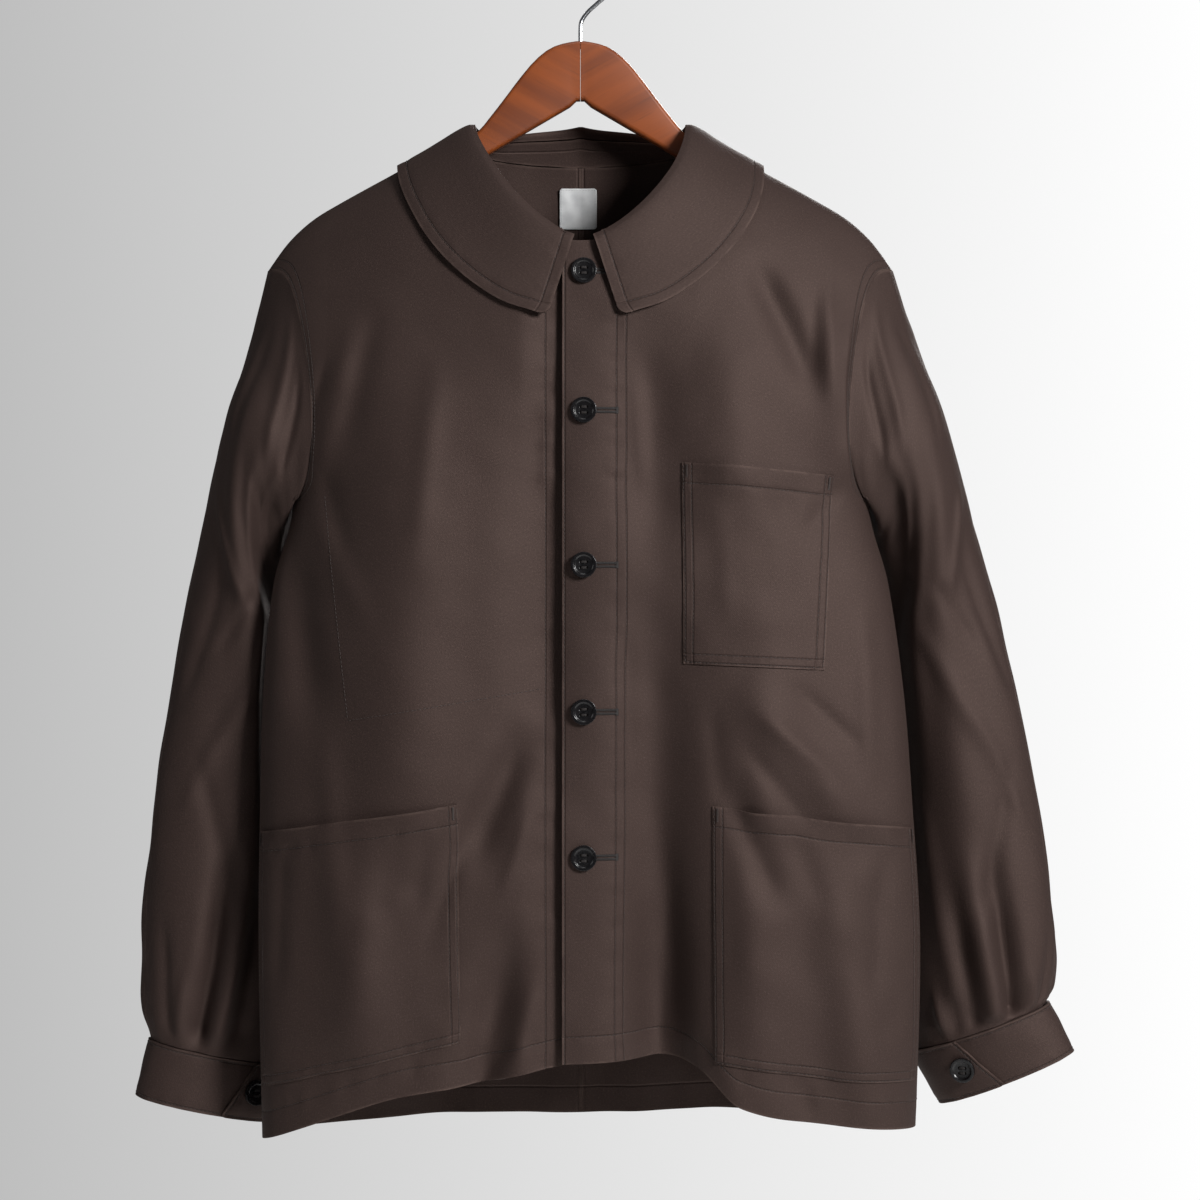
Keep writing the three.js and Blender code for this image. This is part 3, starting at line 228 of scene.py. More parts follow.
def grid_normals(points, closed=False):
    up = np.gradient(points, axis=0)
    if closed:
        across = np.roll(points, -1, axis=1) - np.roll(points, 1, axis=1)
    else:
        across = np.gradient(points, axis=1)
    normal = np.cross(across, up)
    return normal / np.maximum(np.linalg.norm(normal, axis=-1, keepdims=True), 1e-9)

def edge_crowded(low, high, count, near=(0.12, 0.3, 0.6)):
    """Evenly spaced values with a few more close to both ends."""
    step = (high - low) / (count - 1)
    more = [low + n * step for n in near] + [high - n * step for n in near]
    return np.unique(np.concatenate([np.linspace(low, high, count), more]))

class Piece:
    """A piece of cloth: its grid, its outward normals and its distances from the edges."""
    def __init__(self, name, points, outward, closed=False):
        self.name, self.points, self.closed = name, points, closed
        normals = grid_normals(points, closed)
        self.flip = np.sum(normals * outward) < 0
        self.normals = -normals if self.flip else normals
        ring = np.concatenate([points, points[:, :1]], axis=1) if closed else points
        across, up = lengths(ring, 1), lengths(points, 0)
        if closed:
            across = across[:, :-1]
        self.fields = {"from_start": across, "from_end": across[:, -1:] - across,
                       "from_foot": up, "from_top": up[-1:] - up}

    def build(self, wall=1.7, rim=0.55):
        count_r, count_c = self.points.shape[:2]
        index = np.arange(count_r * count_c).reshape(count_r, count_c)
        if self.closed:
            index = np.concatenate([index, index[:, :1]], axis=1)
        quads = np.stack([index[:-1, :-1], index[:-1, 1:], index[1:, 1:], index[1:, :-1]], -1).reshape(-1, 4)
        if self.flip:
            quads = quads[:, ::-1]
        mesh = bpy.data.meshes.new(self.name)
        mesh.from_pydata((self.points.reshape(-1, 3) * MM).tolist(), [], quads.tolist())
        middle = self.fields["from_start"] - self.fields["from_start"].mean(axis=1, keepdims=True)
        across, up = (middle.reshape(-1) * MM, self.fields["from_foot"].reshape(-1) * MM)
        corners = np.empty(len(mesh.loops), dtype=np.int32)
        mesh.loops.foreach_get("vertex_index", corners)
        uv = mesh.uv_layers.new(name="cloth")
        uv.data.foreach_set("uv", np.stack([across[corners], up[corners]], -1).reshape(-1))
        for field, values in self.fields.items():
            layer = mesh.attributes.new(field, "FLOAT", "POINT")
            layer.data.foreach_set("value", (values.reshape(-1) * MM).astype(np.float32))
        piece = bpy.data.objects.new(f"sewn_{self.name}", mesh)
        bpy.context.scene.collection.objects.link(piece)
        pick(piece)
        bpy.ops.object.shade_smooth()
        finish_with(piece, "SOLIDIFY", thickness=wall * MM, offset=-1, use_even_offset=False, use_rim=True)
        if rim:
            finish_with(piece, "BEVEL", width=rim * MM, segments=2, limit_method="ANGLE",
                        angle_limit=math.radians(62), use_clamp_overlap=True)
        self.object = piece
        faces = len(piece.data.loops) - 2 * len(piece.data.polygons)
        print(f"{self.name}: {faces} triangles, {cloth_area(piece):.3f} m2 of cloth")
        return piece

def rounded(points, radius, corners):
    """Pulls corners of a grid in to arcs. A corner is a pair: foot or top, start or end."""
    draft, moved = Piece("draft", points, np.array([0, -1, 0])), points.copy()
    steps = [np.gradient(points, axis=k) for k in (0, 1)]
    up, across = (g / np.maximum(np.linalg.norm(g, axis=-1, keepdims=True), 1e-9) for g in steps)
    for edge, end in corners:
        a, b = (np.clip(1 - draft.fields[f"from_{f}"] / radius, 0, 1)[..., None] for f in (end, edge))
        moved += across * (1 if end == "start" else -1) * a * (1 - np.sqrt(1 - b * b / 2)) * radius
        moved += up * (1 if edge == "foot" else -1) * b * (1 - np.sqrt(1 - a * a / 2)) * radius
    return moved

def pick(*objects):
    """Select only these objects, the first one active."""
    bpy.ops.object.select_all(action="DESELECT")
    for thing in objects:
        thing.select_set(True)
    bpy.context.view_layer.objects.active = objects[0]

def finish_with(piece, kind, **settings):
    """Add a modifier and apply it."""
    modifier = piece.modifiers.new(kind.lower(), kind)
    for key, value in settings.items():
        setattr(modifier, key, value)
    pick(piece)
    bpy.ops.object.modifier_apply(modifier=modifier.name)

def cloth_area(piece):
    return sum(face.area for face in piece.data.polygons) / 2

# %% [markdown]
# ## Stitching
# The thread is modelled: one small bead of thread, copied along each sewn line at the pitch of
# the machine. A line is found on a piece as the places at a set distance from one of its edges.

# %% Sewn lines
def contour(piece, field, value, **least):
    """The line on a piece where a distance field has a value, kept where others are at least so much."""
    distance = piece.fields[field]
    across = field in ("from_start", "from_end")
    grids = [distance, piece.points, piece.normals] + [piece.fields[name] for name in least]
    if not across:
        grids = [np.swapaxes(g, 0, 1) for g in grids]
    found = []
    for line in zip(*grids):
        order = np.argsort(line[0])
        if not line[0][order[0]] <= value <= line[0][order[-1]]:
            continue
        spot = np.interp(value, line[0][order], order.astype(float))
        low = int(min(math.floor(spot), len(order) - 2))
        mixed = [lerp(g[low], g[low + 1], spot - low) for g in line[1:]]
        if all(m >= limit for m, limit in zip(mixed[2:], least.values())):
            found.append(np.concatenate([mixed[0], mixed[1]]))
    return np.array(found)

class Thread:
    """Collects stitches and makes them one mesh."""
    SIDES, RINGS = 5, ((-0.5, 0.45), (-0.3, 1), (0.3, 1), (0.5, 0.45))

    def __init__(self, name):
        self.name, self.stitches = name, []

    def add(self, centre, along, normal, length, radius):
        self.stitches.append(np.concatenate([centre, along, normal, [length, radius]]))

    def sew(self, line, pitch=3.1, length=2.3, radius=0.27, lift=0.08, seed=3):
        if len(line) < 2:
            return
        chance = np.random.default_rng(seed + len(self.stitches))
        places, normals = line[:, :3], line[:, 3:]
        run = np.concatenate([[0], np.cumsum(np.linalg.norm(np.diff(places, axis=0), axis=1))])
        for at in np.arange(pitch / 2, run[-1] - pitch / 3, pitch):
            at = at + chance.uniform(-0.12, 0.12) * pitch
            here, ahead = ([np.interp(a, run, places[:, k]) for k in range(3)] for a in (at, at + 0.4))
            normal = np.array([np.interp(at, run, normals[:, k]) for k in range(3)])
            normal /= np.linalg.norm(normal)
            along = np.subtract(ahead, here)
            size = np.linalg.norm(along)
            if size > 1e-6:
                self.add(np.array(here) + normal * lift, along / size, normal, length, radius)

    def build(self):
        stitches = np.array(self.stitches)
        centre, along, normal = stitches[:, 0:3], stitches[:, 3:6], stitches[:, 6:9]
        length, radius = stitches[:, 9:10], stitches[:, 10:11]
        normal = normal - along * np.sum(along * normal, axis=1, keepdims=True)
        normal /= np.linalg.norm(normal, axis=1, keepdims=True)
        aside = np.cross(along, normal)
        parts = []
        for place, width in self.RINGS:
            for k in range(self.SIDES):
                turn = 6.2832 * k / self.SIDES
                parts.append(centre + along * length * place
                             + (aside * math.cos(turn) + normal * math.sin(turn)) * radius * width)
        points = np.stack(parts, 1)
        sides, rings = self.SIDES, len(self.RINGS)
        faces = [[r * sides + k, r * sides + (k + 1) % sides, (r + 1) * sides + (k + 1) % sides, (r + 1) * sides + k]
                 for r in range(rings - 1) for k in range(sides)]
        caps = [list(range(sides))[::-1], [(rings - 1) * sides + k for k in range(sides)]]
        count = sides * rings
        polygons = [[i + n * count for i in face] for n in range(len(points)) for face in faces + caps]
        mesh = bpy.data.meshes.new(self.name)
        mesh.from_pydata((points.reshape(-1, 3) * MM).tolist(), [], polygons)
        thread = bpy.data.objects.new(self.name, mesh)
        bpy.context.scene.collection.objects.link(thread)
        pick(thread)
        bpy.ops.object.mode_set(mode="EDIT")
        bpy.ops.mesh.select_all(action="SELECT")
        bpy.ops.mesh.normals_make_consistent(inside=False)
        bpy.ops.object.mode_set(mode="OBJECT")
        bpy.ops.object.shade_smooth()
        self.object = thread
        print(f"{self.name}: {len(stitches)} stitches")
        return thread

# %% [markdown]
# ## Fronts and backs
# Each front and back is cut between the middle edge and the side seam, from the hem up to the
# neck and shoulder. Its named lines, such as a pocket's foot, are rows of a table, and any point
# of the panel is found between two of them. The y of a point comes from the body's section plus
# the folds, the finer creases and a little unevenness, as cloth never hangs dead smooth.

# %% Lines of the panels
LEVEL = "name steps middle_z inner_x inner_z outer_x outer_z seam_z armhole"
LEFT_FRONT = rows(LEVEL,
    ("hem", 0, -833, 101, -850, 190, -879, -886), ("hip pocket foot", 1, -806, 100, -831, 190, -845, -850),
    ("hip pocket mouth", 5, -633, 98, -642, 190, -653, -661), ("chest pocket foot", 3, -534, 77, -537, 181, -542, -548),
    ("underarm", 3, -402, 76, -406, 188, -413, -415), ("chest pocket mouth", 2, -383, 76, -388, 190, -397, None, 150),
    ("top", 10, None, None, None, None, None, None, 0))
RIGHT_FRONT = rows(LEVEL,
    ("hem", 0, -832, 88, -849, 190, -875, -895), ("hip pocket foot", 1, -800, 88, -817, 190, -841, -855),
    ("hip pocket mouth", 5, -633, 90, -640, 190, -656, -664), ("underarm", 6, -402, 90, -406, 188, -413, -415),
    ("chest", 2, -383, 90, -388, 190, -397, None, 150), ("top", 10, None, None, None, None, None, None, 0))
HALF_BACK = rows(LEVEL,
    ("hem", 0, -891, 98, -890, 190, -890, -890), ("underarm", 10, -405, 98, -408, 188, -413, -415),
    ("chest", 2, -380, 98, -388, 190, -397, None, 150), ("top", 10, None, None, None, None, None, None, 0))
FRONT_COLUMNS = {"neck": [None, 9, 29, 49, 70, 90], "outer": 4, "edge": 5}
BACK_COLUMNS = {"neck": [0, 22.5, 45, 67.5, 90], "outer": 4, "edge": 4}
OUTER_LINE_X, EDGE_CROWDING = 190, 1.7

class Panel:
    """One front or back, read at any column u and row v of its cutting lines."""
    def __init__(self, side, face, levels, columns, middle_x, hem, folds, creases, seed, set_back=None):
        self.side, self.face, self.levels, self.columns = side, face, levels, columns
        self.middle_x, self.hem, self.folds, self.creases = middle_x, hem, folds, creases
        self.seed, self.set_back = seed, set_back
        self.inner = len(columns["neck"]) - 1
        self.split = self.inner + columns["outer"]
        self.total = self.split + columns["edge"]
        self.marks = np.cumsum([level["steps"] for level in levels])

    def line(self, level, u):
        inner, outer = self.inner, self.columns["outer"]
        if level["name"] == "top":
            given = [math.degrees(math.asin(self.middle_x / NECK_POINT_X)) if a is None else a
                     for a in self.columns["neck"]]
            angle = np.radians(np.interp(u, range(inner + 1), given))
            drop = FRONT_NECK_DROP if self.face < 0 else BACK_NECK_DROP
            beyond = lerp(NECK_POINT_X, OUTER_LINE_X, (u - inner) / outer)
            x = np.where(u <= inner, NECK_POINT_X * np.sin(angle), beyond)
            return x, np.where(u <= inner, ridge_at(NECK_POINT_X) - drop * np.cos(angle), ridge_at(np.abs(x)))
        near, far = u / inner, (u - inner) / outer
        x = np.where(u <= inner, lerp(self.middle_x, level["inner_x"], near),
                     lerp(level["inner_x"], level["outer_x"], far))
        return x, np.where(u <= inner, lerp(level["middle_z"], level["inner_z"], near),
                           lerp(level["inner_z"], level["outer_z"], far))

    def places(self, u, v):
        lines = [self.line(level, np.minimum(u, self.split)) for level in self.levels]
        part = 1 - (1 - np.clip((u - self.split) / self.columns["edge"], 0, 1)) ** EDGE_CROWDING
        last = len(self.levels) - 1

        def row(height):
            k = int(np.clip(np.searchsorted(self.marks, height, side="left"), 1, last))
            level, below = self.levels[k], self.levels[k - 1]
            share = (height - self.marks[k - 1]) / (self.marks[k] - self.marks[k - 1])
            ease = math.sin(share * math.pi / 2) if level["name"] == "top" else share
            x, z = (lerp(a, b, ease) for a, b in zip(lines[k - 1], lines[k]))
            if "armhole" in level:
                point = armhole(self.side, self.face, lerp(below.get("armhole", 180), level["armhole"], share))
                edge_x, edge_z = self.side * point[0], point[2]
            else:
                edge_z = lerp(below["seam_z"], level["seam_z"], share)
                edge_x = half_width[self.side](edge_z)
            return lerp(x, edge_x, part), lerp(z, edge_z, part)

        foot_x, foot_z = row(0)
        top_x, top_z = row(self.marks[-1])
        to_hem = self.hem(self.side * foot_x) - foot_z
        to_ridge = np.where(u > self.split, ridge_at(top_x) - top_z, 0)
        found = []
        for height in v:
            x, z = row(height)
            z = z + to_hem * max(1 - height, 0) + to_ridge * max(height - self.marks[-1] + 1, 0)
            found.append((x, z))
        return np.array([f[0] for f in found]), np.array([f[1] for f in found])

    def points(self, u, v):
        x, z = self.places(u, v)
        x = self.side * x
        u_grid, v_grid = np.meshgrid(u, v)
        from_top = smooth((ridge_at(np.abs(x)) - z) / 60)
        y = body_y(x, z, self.face)
        y = y + self.face * folds_at(self.folds, x, z) * smooth((self.total - u_grid) / 2.5) * from_top
        fine = folds_at(self.creases, x, z) * smooth((self.total - u_grid) / 1.2)
        fine = fine + 0.8 * wander(x, z, 120, self.seed) * smooth((self.total - u_grid) / 2)
        fine = fine + 0.3 * wander(x, z, 38, self.seed + 1) * smooth((self.total - u_grid) / 1)
        y = y + self.face * fine * smooth((ridge_at(np.abs(x)) - z) / 25)
        if self.set_back:
            y = y + self.set_back(x)
        if self.face > 0:
            x = np.where(u_grid <= 0, 0, x)
        return np.stack([x, y, z], -1)

    def underarm(self):
        return next(m for m, level in zip(self.marks, self.levels) if level["name"] == "underarm")

    def outward(self):
        return np.array([0, self.face, 0])

def set_back(x):
    return UNDERLAP_SET_BACK * smooth((x - SET_BACK_FROM_X) / SET_BACK_OVER)

PANELS = {
    "front_left": Panel(1, -1, LEFT_FRONT, FRONT_COLUMNS, OVERLAP_EDGE_X, hem_left, FRONT_FOLDS, FRONT_CREASES, 11),
    "front_right": Panel(-1, -1, RIGHT_FRONT, FRONT_COLUMNS, -UNDERLAP_EDGE_X, lambda x: hem_right(-x),
                         FRONT_FOLDS, FRONT_CREASES, 21, set_back),
    "back_left": Panel(1, 1, HALF_BACK, BACK_COLUMNS, 0, hem_back, BACK_FOLDS, BACK_CREASES, 31),
    "back_right": Panel(-1, 1, HALF_BACK, BACK_COLUMNS, 0, hem_back, BACK_FOLDS, BACK_CREASES, 31),
}
PUCKER = {"front_left": [("from_start", 40.5), ("from_foot", 20)], "front_right": [("from_foot", 20), ("from_start", 46)],
          "back_left": [("from_foot", 20)], "back_right": [("from_foot", 20)]}

def puckered(points, outward, sewn, depth=0.45, reach=7, pitch=15, seed=5, closed=False):
    """Small waves where the thread draws the cloth in, beside the edges and the sewn lines."""
    draft = Piece("draft", points, outward, closed)
    rise = 0
    for n, (field, value) in enumerate(sewn):
        beside = np.exp(-((draft.fields[field] - value) / reach) ** 2)
        run = draft.fields["from_foot" if field in ("from_start", "from_end") else "from_start"]
        wave = wander(run, 0 * run, pitch, seed + 7 * n, waves=9)
        rise = rise + depth * beside * wave - 0.35 * np.exp(-((draft.fields[field] - value) / 2.2) ** 2)
    return points + draft.normals * np.asarray(rise)[..., None]

cloth = {}
for name, panel in PANELS.items():
    u = edge_crowded(0, panel.total, 104)
    v = edge_crowded(0, panel.marks[-1], 190)
    points = puckered(panel.points(u, v), panel.outward(), PUCKER[name], seed=panel.seed)
    cloth[name] = Piece(name, points, panel.outward())
    cloth[name].build()

# %% [markdown]
# ## Patch pockets
# A patch pocket is a block of its front's own points, moved out by the cloth's thickness. Its
# sides and foot are sewn down flat, so the edge sinks a little, and the mouth stands off.

# %% Pockets
POCKETS = {"hip_pocket_left": ("front_left", (5, 13), (1, 6)), "hip_pocket_right": ("front_right", (5, 13), (1, 6)),
           "chest_pocket": ("front_left", (5, 9), (9, 14))}
POCKET_CREASES = {
    "hip_pocket_left": rows(FOLD, (110, -660, 126, -800, 12, 1.6), (150, -650, 186, -730, 9, -1.4)),
    "hip_pocket_right": rows(FOLD, (-150, -640, -168, -830, 12, 1.5), (-110, -650, -120, -740, 9, -1.3)),
    "chest_pocket": rows(FOLD, (96, -400, 112, -520, 10, 1.1), (150, -400, 160, -500, 9, -1.0)),
}
for number, (name, (front, (u_from, u_to), (v_from, v_to))) in enumerate(POCKETS.items()):
    panel = PANELS[front]
    u = edge_crowded(u_from, u_to, 70)
    v = edge_crowded(v_from, v_to, 84)
    base = Piece("draft", panel.points(u, v), panel.outward())
    nearest = np.minimum(np.minimum(base.fields["from_start"], base.fields["from_end"]), base.fields["from_foot"])
    full = smooth((nearest - 9) / 26)
    mouth = np.exp(-(base.fields["from_top"] / 16) ** 2) * full
    x, z = base.points[..., 0], base.points[..., 2]
    lift = CLOTH + 0.1 + 0.9 * full + 2.2 * mouth - 0.8 * (1 - smooth(nearest / 2.5))
    lift = lift + folds_at(POCKET_CREASES[name], x, z) * full + 0.35 * wander(x, z, 40, 50 + number) * full
    sewn = [("from_start", 4.5), ("from_end", 4.5), ("from_foot", 4.5), ("from_top", 15)]
    points = puckered(base.points + base.normals * lift[..., None], panel.outward(), sewn, depth=0.3,
                      reach=5, pitch=13, seed=60 + number)
    cloth[name] = Piece(name, points, panel.outward())
    cloth[name].build(wall=1.5)

# %% [markdown]
# ## Sleeves and cuffs
# A sleeve is a tube of sections. Each row of the table gives the two ends of a section's long
# axis and its depths ahead and behind. At the top the tube takes the armhole's own curve, which
# fades out over the first sections, and no point may lie inside the body.

# %% Sleeve tables
SECTION = "outer_x outer_y outer_z inner_x inner_y inner_z front back tab_end"
RIGHT_SLEEVE = rows(SECTION,
    (239, 0, -238, 219, -6, -415, 52, 42), (248, 2, -274, 222, -6, -423, 50, 42), (258, 4, -308, 226, -4, -434, 48, 43),
    (270, 5, -345, 230, 4, -448, 46, 44), (281, 6, -388, 231, 18, -466, 45, 44), (291, 6, -438, 230, 34, -491, 44, 43),
    (302, 5, -500, 224, 48, -527, 43, 42), (313, 3, -565, 217, 54, -582, 43, 42), (324, 2, -630, 213, 56, -642, 43, 42),
    (331, 1, -695, 212, 56, -705, 43, 42), (333, 1, -752, 214, 55, -765, 43, 42), (334, 2, -798, 222, 51, -817, 38, 38),
    (329, 3, -826, 231, 46, -849, 31, 31))
LEFT_SLEEVE = rows(SECTION,
    (239, 0, -238, 220, -6, -415, 52, 42), (250, 2, -272, 224, -6, -423, 50, 42), (262, 4, -304, 228, -4, -434, 48, 43),
    (276, 5, -340, 232, 4, -448, 46, 44), (290, 6, -385, 235, 17, -467, 45, 44), (303, 6, -436, 237, 31, -492, 44, 43),
    (319, 5, -500, 234, 44, -529, 43, 42), (335, 3, -566, 235, 48, -586, 43, 42), (349, 2, -640, 238, 48, -652, 43, 42),
    (359, 1, -705, 243, 46, -718, 43, 42), (364, 1, -758, 250, 42, -778, 42, 40), (362, 2, -786, 255, 38, -813, 36, 36),
    (357, 3, -798, 259, 34, -837, 30, 30))
RIGHT_CUFF = rows(SECTION, (329, 3, -827, 232, 46, -850, 29, 29, 113), (339, 3, -870, 238, 46, -894, 29, 29, 91))
LEFT_CUFF = rows(SECTION, (358, 3, -799, 260, 34, -838, 28, 28, 107), (377, 3, -836, 281, 34, -878, 28, 28, 87))
TURN = "from_angle start to_angle stop width depth"
RIGHT_SLEEVE_FOLDS = rows(TURN, (62, 0.12, 92, 0.86, 15, 5), (76, 0.7, 56, 1.12, 8, -12), (90, 0.7, 68, 1.12, 8, 7),
                          (250, 0.3, 285, 0.8, 22, -6), (300, 0.7, 316, 1.1, 12, -7), (132, 0.02, 130, 0.96, 26, -11),
                          (96, 0.1, 98, 0.8, 9, 3), (100, 0.74, 92, 1.08, 8, -5), (122, 0.84, 113, 1.08, 4, 3))
LEFT_SLEEVE_FOLDS = rows(TURN, (66, 0.2, 80, 0.84, 16, 5), (62, 0.68, 50, 1.12, 8, -12), (80, 0.68, 66, 1.12, 8, 7),
                         (280, 0.25, 250, 0.8, 22, -6), (300, 0.7, 312, 1.1, 12, -7), (134, 0.02, 128, 0.9, 24, -9),
                         (92, 0.14, 100, 0.7, 10, 2.5), (94, 0.72, 86, 1.08, 7, -5), (120, 0.84, 107, 1.08, 4, 3.5))
SLEEVE_CREASES = rows(TURN,
    (40, 0.02, 100, 0.2, 8, 2.6), (20, 0.06, 60, 0.3, 9, -2.2), (70, 0.03, 118, 0.16, 7, -2.4), (110, 0.1, 130, 0.4, 8, 2.2),
    (30, 0.34, 74, 0.48, 8, 2.4), (52, 0.4, 10, 0.6, 8, -2.4), (104, 0.46, 54, 0.64, 8, 2.4), (90, 0.42, 40, 0.54, 6, -1.8),
    (36, 0.62, 88, 0.8, 8, -2.4), (70, 0.56, 30, 0.7, 7, 1.8), (118, 0.62, 100, 0.95, 8, 2.2), (20, 0.78, 34, 1.02, 6, -2.8),
    (44, 0.84, 40, 1.04, 5, 2.2), (340, 0.72, 352, 1.02, 7, 2.6), (110, 0.86, 108, 1.04, 6, -2.4), (240, 0.1, 280, 0.34, 12, 2.4),
    (330, 0.3, 300, 0.6, 10, -2.4), (262, 0.74, 250, 1.02, 8, -2.8), (220, 0.5, 236, 0.9, 12, 2.4), (204, 0.4, 262, 0.52, 10, -2.2),
    (210, 0.48, 280, 0.62, 9, 2.0))

def at_row(table, column, index):
    return curve(range(len(table)), [row[column] for row in table])(index)

def section_points(table, side, index, degrees, grow):
    """Points of the sections at row numbers and angles: 0 is the outer line, 90 is in front."""
    ends = [np.stack([side * at_row(table, f"{end}_x", index), at_row(table, f"{end}_y", index),
                      at_row(table, f"{end}_z", index)], -1)[:, None] for end in ("outer", "inner")]
    middle, long = (ends[0] + ends[1]) / 2, (ends[0] - ends[1]) / 2
    half = np.linalg.norm(long, axis=-1, keepdims=True)
    ahead = np.array([0, -1.0, 0])
    ahead = ahead - long * (long[..., 1:2] * -1) / half ** 2
    ahead /= np.linalg.norm(ahead, axis=-1, keepdims=True)
    angle = np.radians(degrees)
    if angle.ndim == 1:
        angle = np.broadcast_to(angle, (len(index), len(degrees)))
    depth = np.where(np.sin(angle) > 0, at_row(table, "front", index)[:, None], at_row(table, "back", index)[:, None])
    grow = np.broadcast_to(grow, angle.shape)[..., None]
    return (middle + long * np.cos(angle)[..., None] * (half + grow) / half
            + ahead * np.sin(angle)[..., None] * (depth[..., None] + grow))

def clear_of_body(points, side, steps=4):
    """Pushes points out of the body's section below the underarm."""
    x, y, z = (points[..., k].copy() for k in range(3))
    clearance = lerp(2.6, 4, smooth((UNDERARM_Z - z) / 30))
    wide = half_width[side](z) + clearance
    low = z < UNDERARM_Z + 2
    for _ in range(steps):
        share = side * x / wide
        middle = seam_y(z) * np.minimum(share * share, 1)
        deep = np.where(y < middle, front_depth(z), back_depth(z)) + clearance
        rise = (y - middle) / deep
        inside = 1 - np.abs(share) ** ROUNDNESS - np.abs(rise) ** ROUNDNESS
        along_x = ROUNDNESS * np.abs(share) ** (ROUNDNESS - 1) / wide
        along_y = ROUNDNESS * np.abs(rise) ** (ROUNDNESS - 1) * np.sign(rise) / deep
        push = np.where(low & (inside > 0), inside, 0) / np.maximum(along_x ** 2 + along_y ** 2, 1e-9)
        x, y = x + side * along_x * push, y + along_y * push
    return np.stack([x, y, z], -1)

def turned_folds(folds, degrees, share):
    total = 0
    for fold in folds:
        part = np.clip((share - fold["start"]) / (fold["stop"] - fold["start"]), 0, 1)
        centre = lerp(fold["from_angle"], fold["to_angle"], part)
        aside = (degrees - centre + 540) % 360 - 180
        ends = smooth(part / 0.3) * smooth((1 - part) / 0.3)
        total = total + fold["depth"] * ends * np.exp(-(aside / fold["width"]) ** 2)
    return total

# %% Sleeves
SLEEVE_LAST = 12
for name, side, table, folds in (("sleeve_left", 1, LEFT_SLEEVE, LEFT_SLEEVE_FOLDS),
                                 ("sleeve_right", -1, RIGHT_SLEEVE, RIGHT_SLEEVE_FOLDS)):
    degrees = np.arange(0, 360, 3.0)
    index = edge_crowded(0, SLEEVE_LAST, 190)
    face = np.where(degrees <= 180, -1, 1)
    seam = armhole(side, face, np.where(degrees <= 180, degrees, 360 - degrees))
    seam[:, 0] += side * SEAM_GAP
    deviation = seam - section_points(table, side, np.array([0.0]), degrees, 0)[0]
    turn, row = np.meshgrid(degrees, index)
    share = row / SLEEVE_LAST
    grow = turned_folds(folds, turn, share) + turned_folds(SLEEVE_CREASES, turn + 6 * side, share)
    grow = grow + (0.7 * wander(turn * 0.8, row * 47, 90, 71 + side) + 0.3 * wander(turn * 0.8, row * 47, 34, 81 + side)) * smooth(row / 1.5)
    ruck = np.sin(np.radians(turn) * 17 + 2.2 * np.sin(np.radians(turn) * 3)) * smooth((row - 11) / 1)
    grow = np.where(row > 0, (grow + 0.7 * ruck) * (1 - 0.88 * smooth((row - 11.2) / 0.8)), 0)
    fade = (1 - smooth(row / 3))[..., None]
    points = section_points(table, side, index, degrees, grow) + deviation[None] * fade
    points[..., 0] -= side * 14 * np.exp(-((turn - 212) / 34) ** 2 - ((row - 4) / 1.8) ** 2)
    points = clear_of_body(points, side)
    axis = points[-1].mean(axis=0) - points[-12].mean(axis=0)
    axis /= np.linalg.norm(axis)
    tuck = []
    for sink, down in ((1.4, 0.6), (3.0, 2.5), (3.2, 7)):
        inwards = points[-1] - points[-1].mean(axis=0)
        inwards /= np.linalg.norm(inwards, axis=-1, keepdims=True)
        tuck.append(points[-1] - inwards * sink + axis * down)
    points = np.concatenate([points, np.array(tuck)])
    outward = points - points.mean(axis=1, keepdims=True)
    cloth[name] = Piece(name, points, outward, closed=True)
    cloth[name].build(rim=0)

# %% Cuffs
CUFF_UNDERLAP = 42
for name, side, table in (("cuff_left", 1, LEFT_CUFF), ("cuff_right", -1, RIGHT_CUFF)):
    index = edge_crowded(0, 1, 22, near=(0.1, 0.25, 0.5))
    turned = edge_crowded(0, 360 + CUFF_UNDERLAP, 190)
    tab_end = lerp(table[0]["tab_end"], table[1]["tab_end"], index)[:, None]
    degrees = tab_end + CUFF_UNDERLAP - turned[None]
    grow = CLOTH + (CLOTH + LAY_GAP) * smooth((turned - 300) / 40)
    grow = grow[None] + 0.35 * wander(turned[None] * 0.8, index[:, None] * 45, 30, 91 + side)
    points = section_points(table, side, index, degrees, grow)
    outward = points - points.mean(axis=(0, 1))
    sewn = [("from_foot", 2.5), ("from_top", 2.5), ("from_end", 2.5)]
    points = puckered(points, outward, sewn, depth=0.25, reach=4, pitch=11, seed=95)
    points = rounded(points, 4, [("foot", "end"), ("top", "end")])
    cloth[name] = Piece(name, points, outward)
    cloth[name].build(wall=2.0)

# %% [markdown]
# ## Collar
# The collar is one band: a stand that rises inside the neck, a rounded roll, and a leaf that
# falls over the shoulders and ends in two points. Lines across it run from the neck seam over
# the roll to the leaf's outer edge, and each line is raised a little above the body.

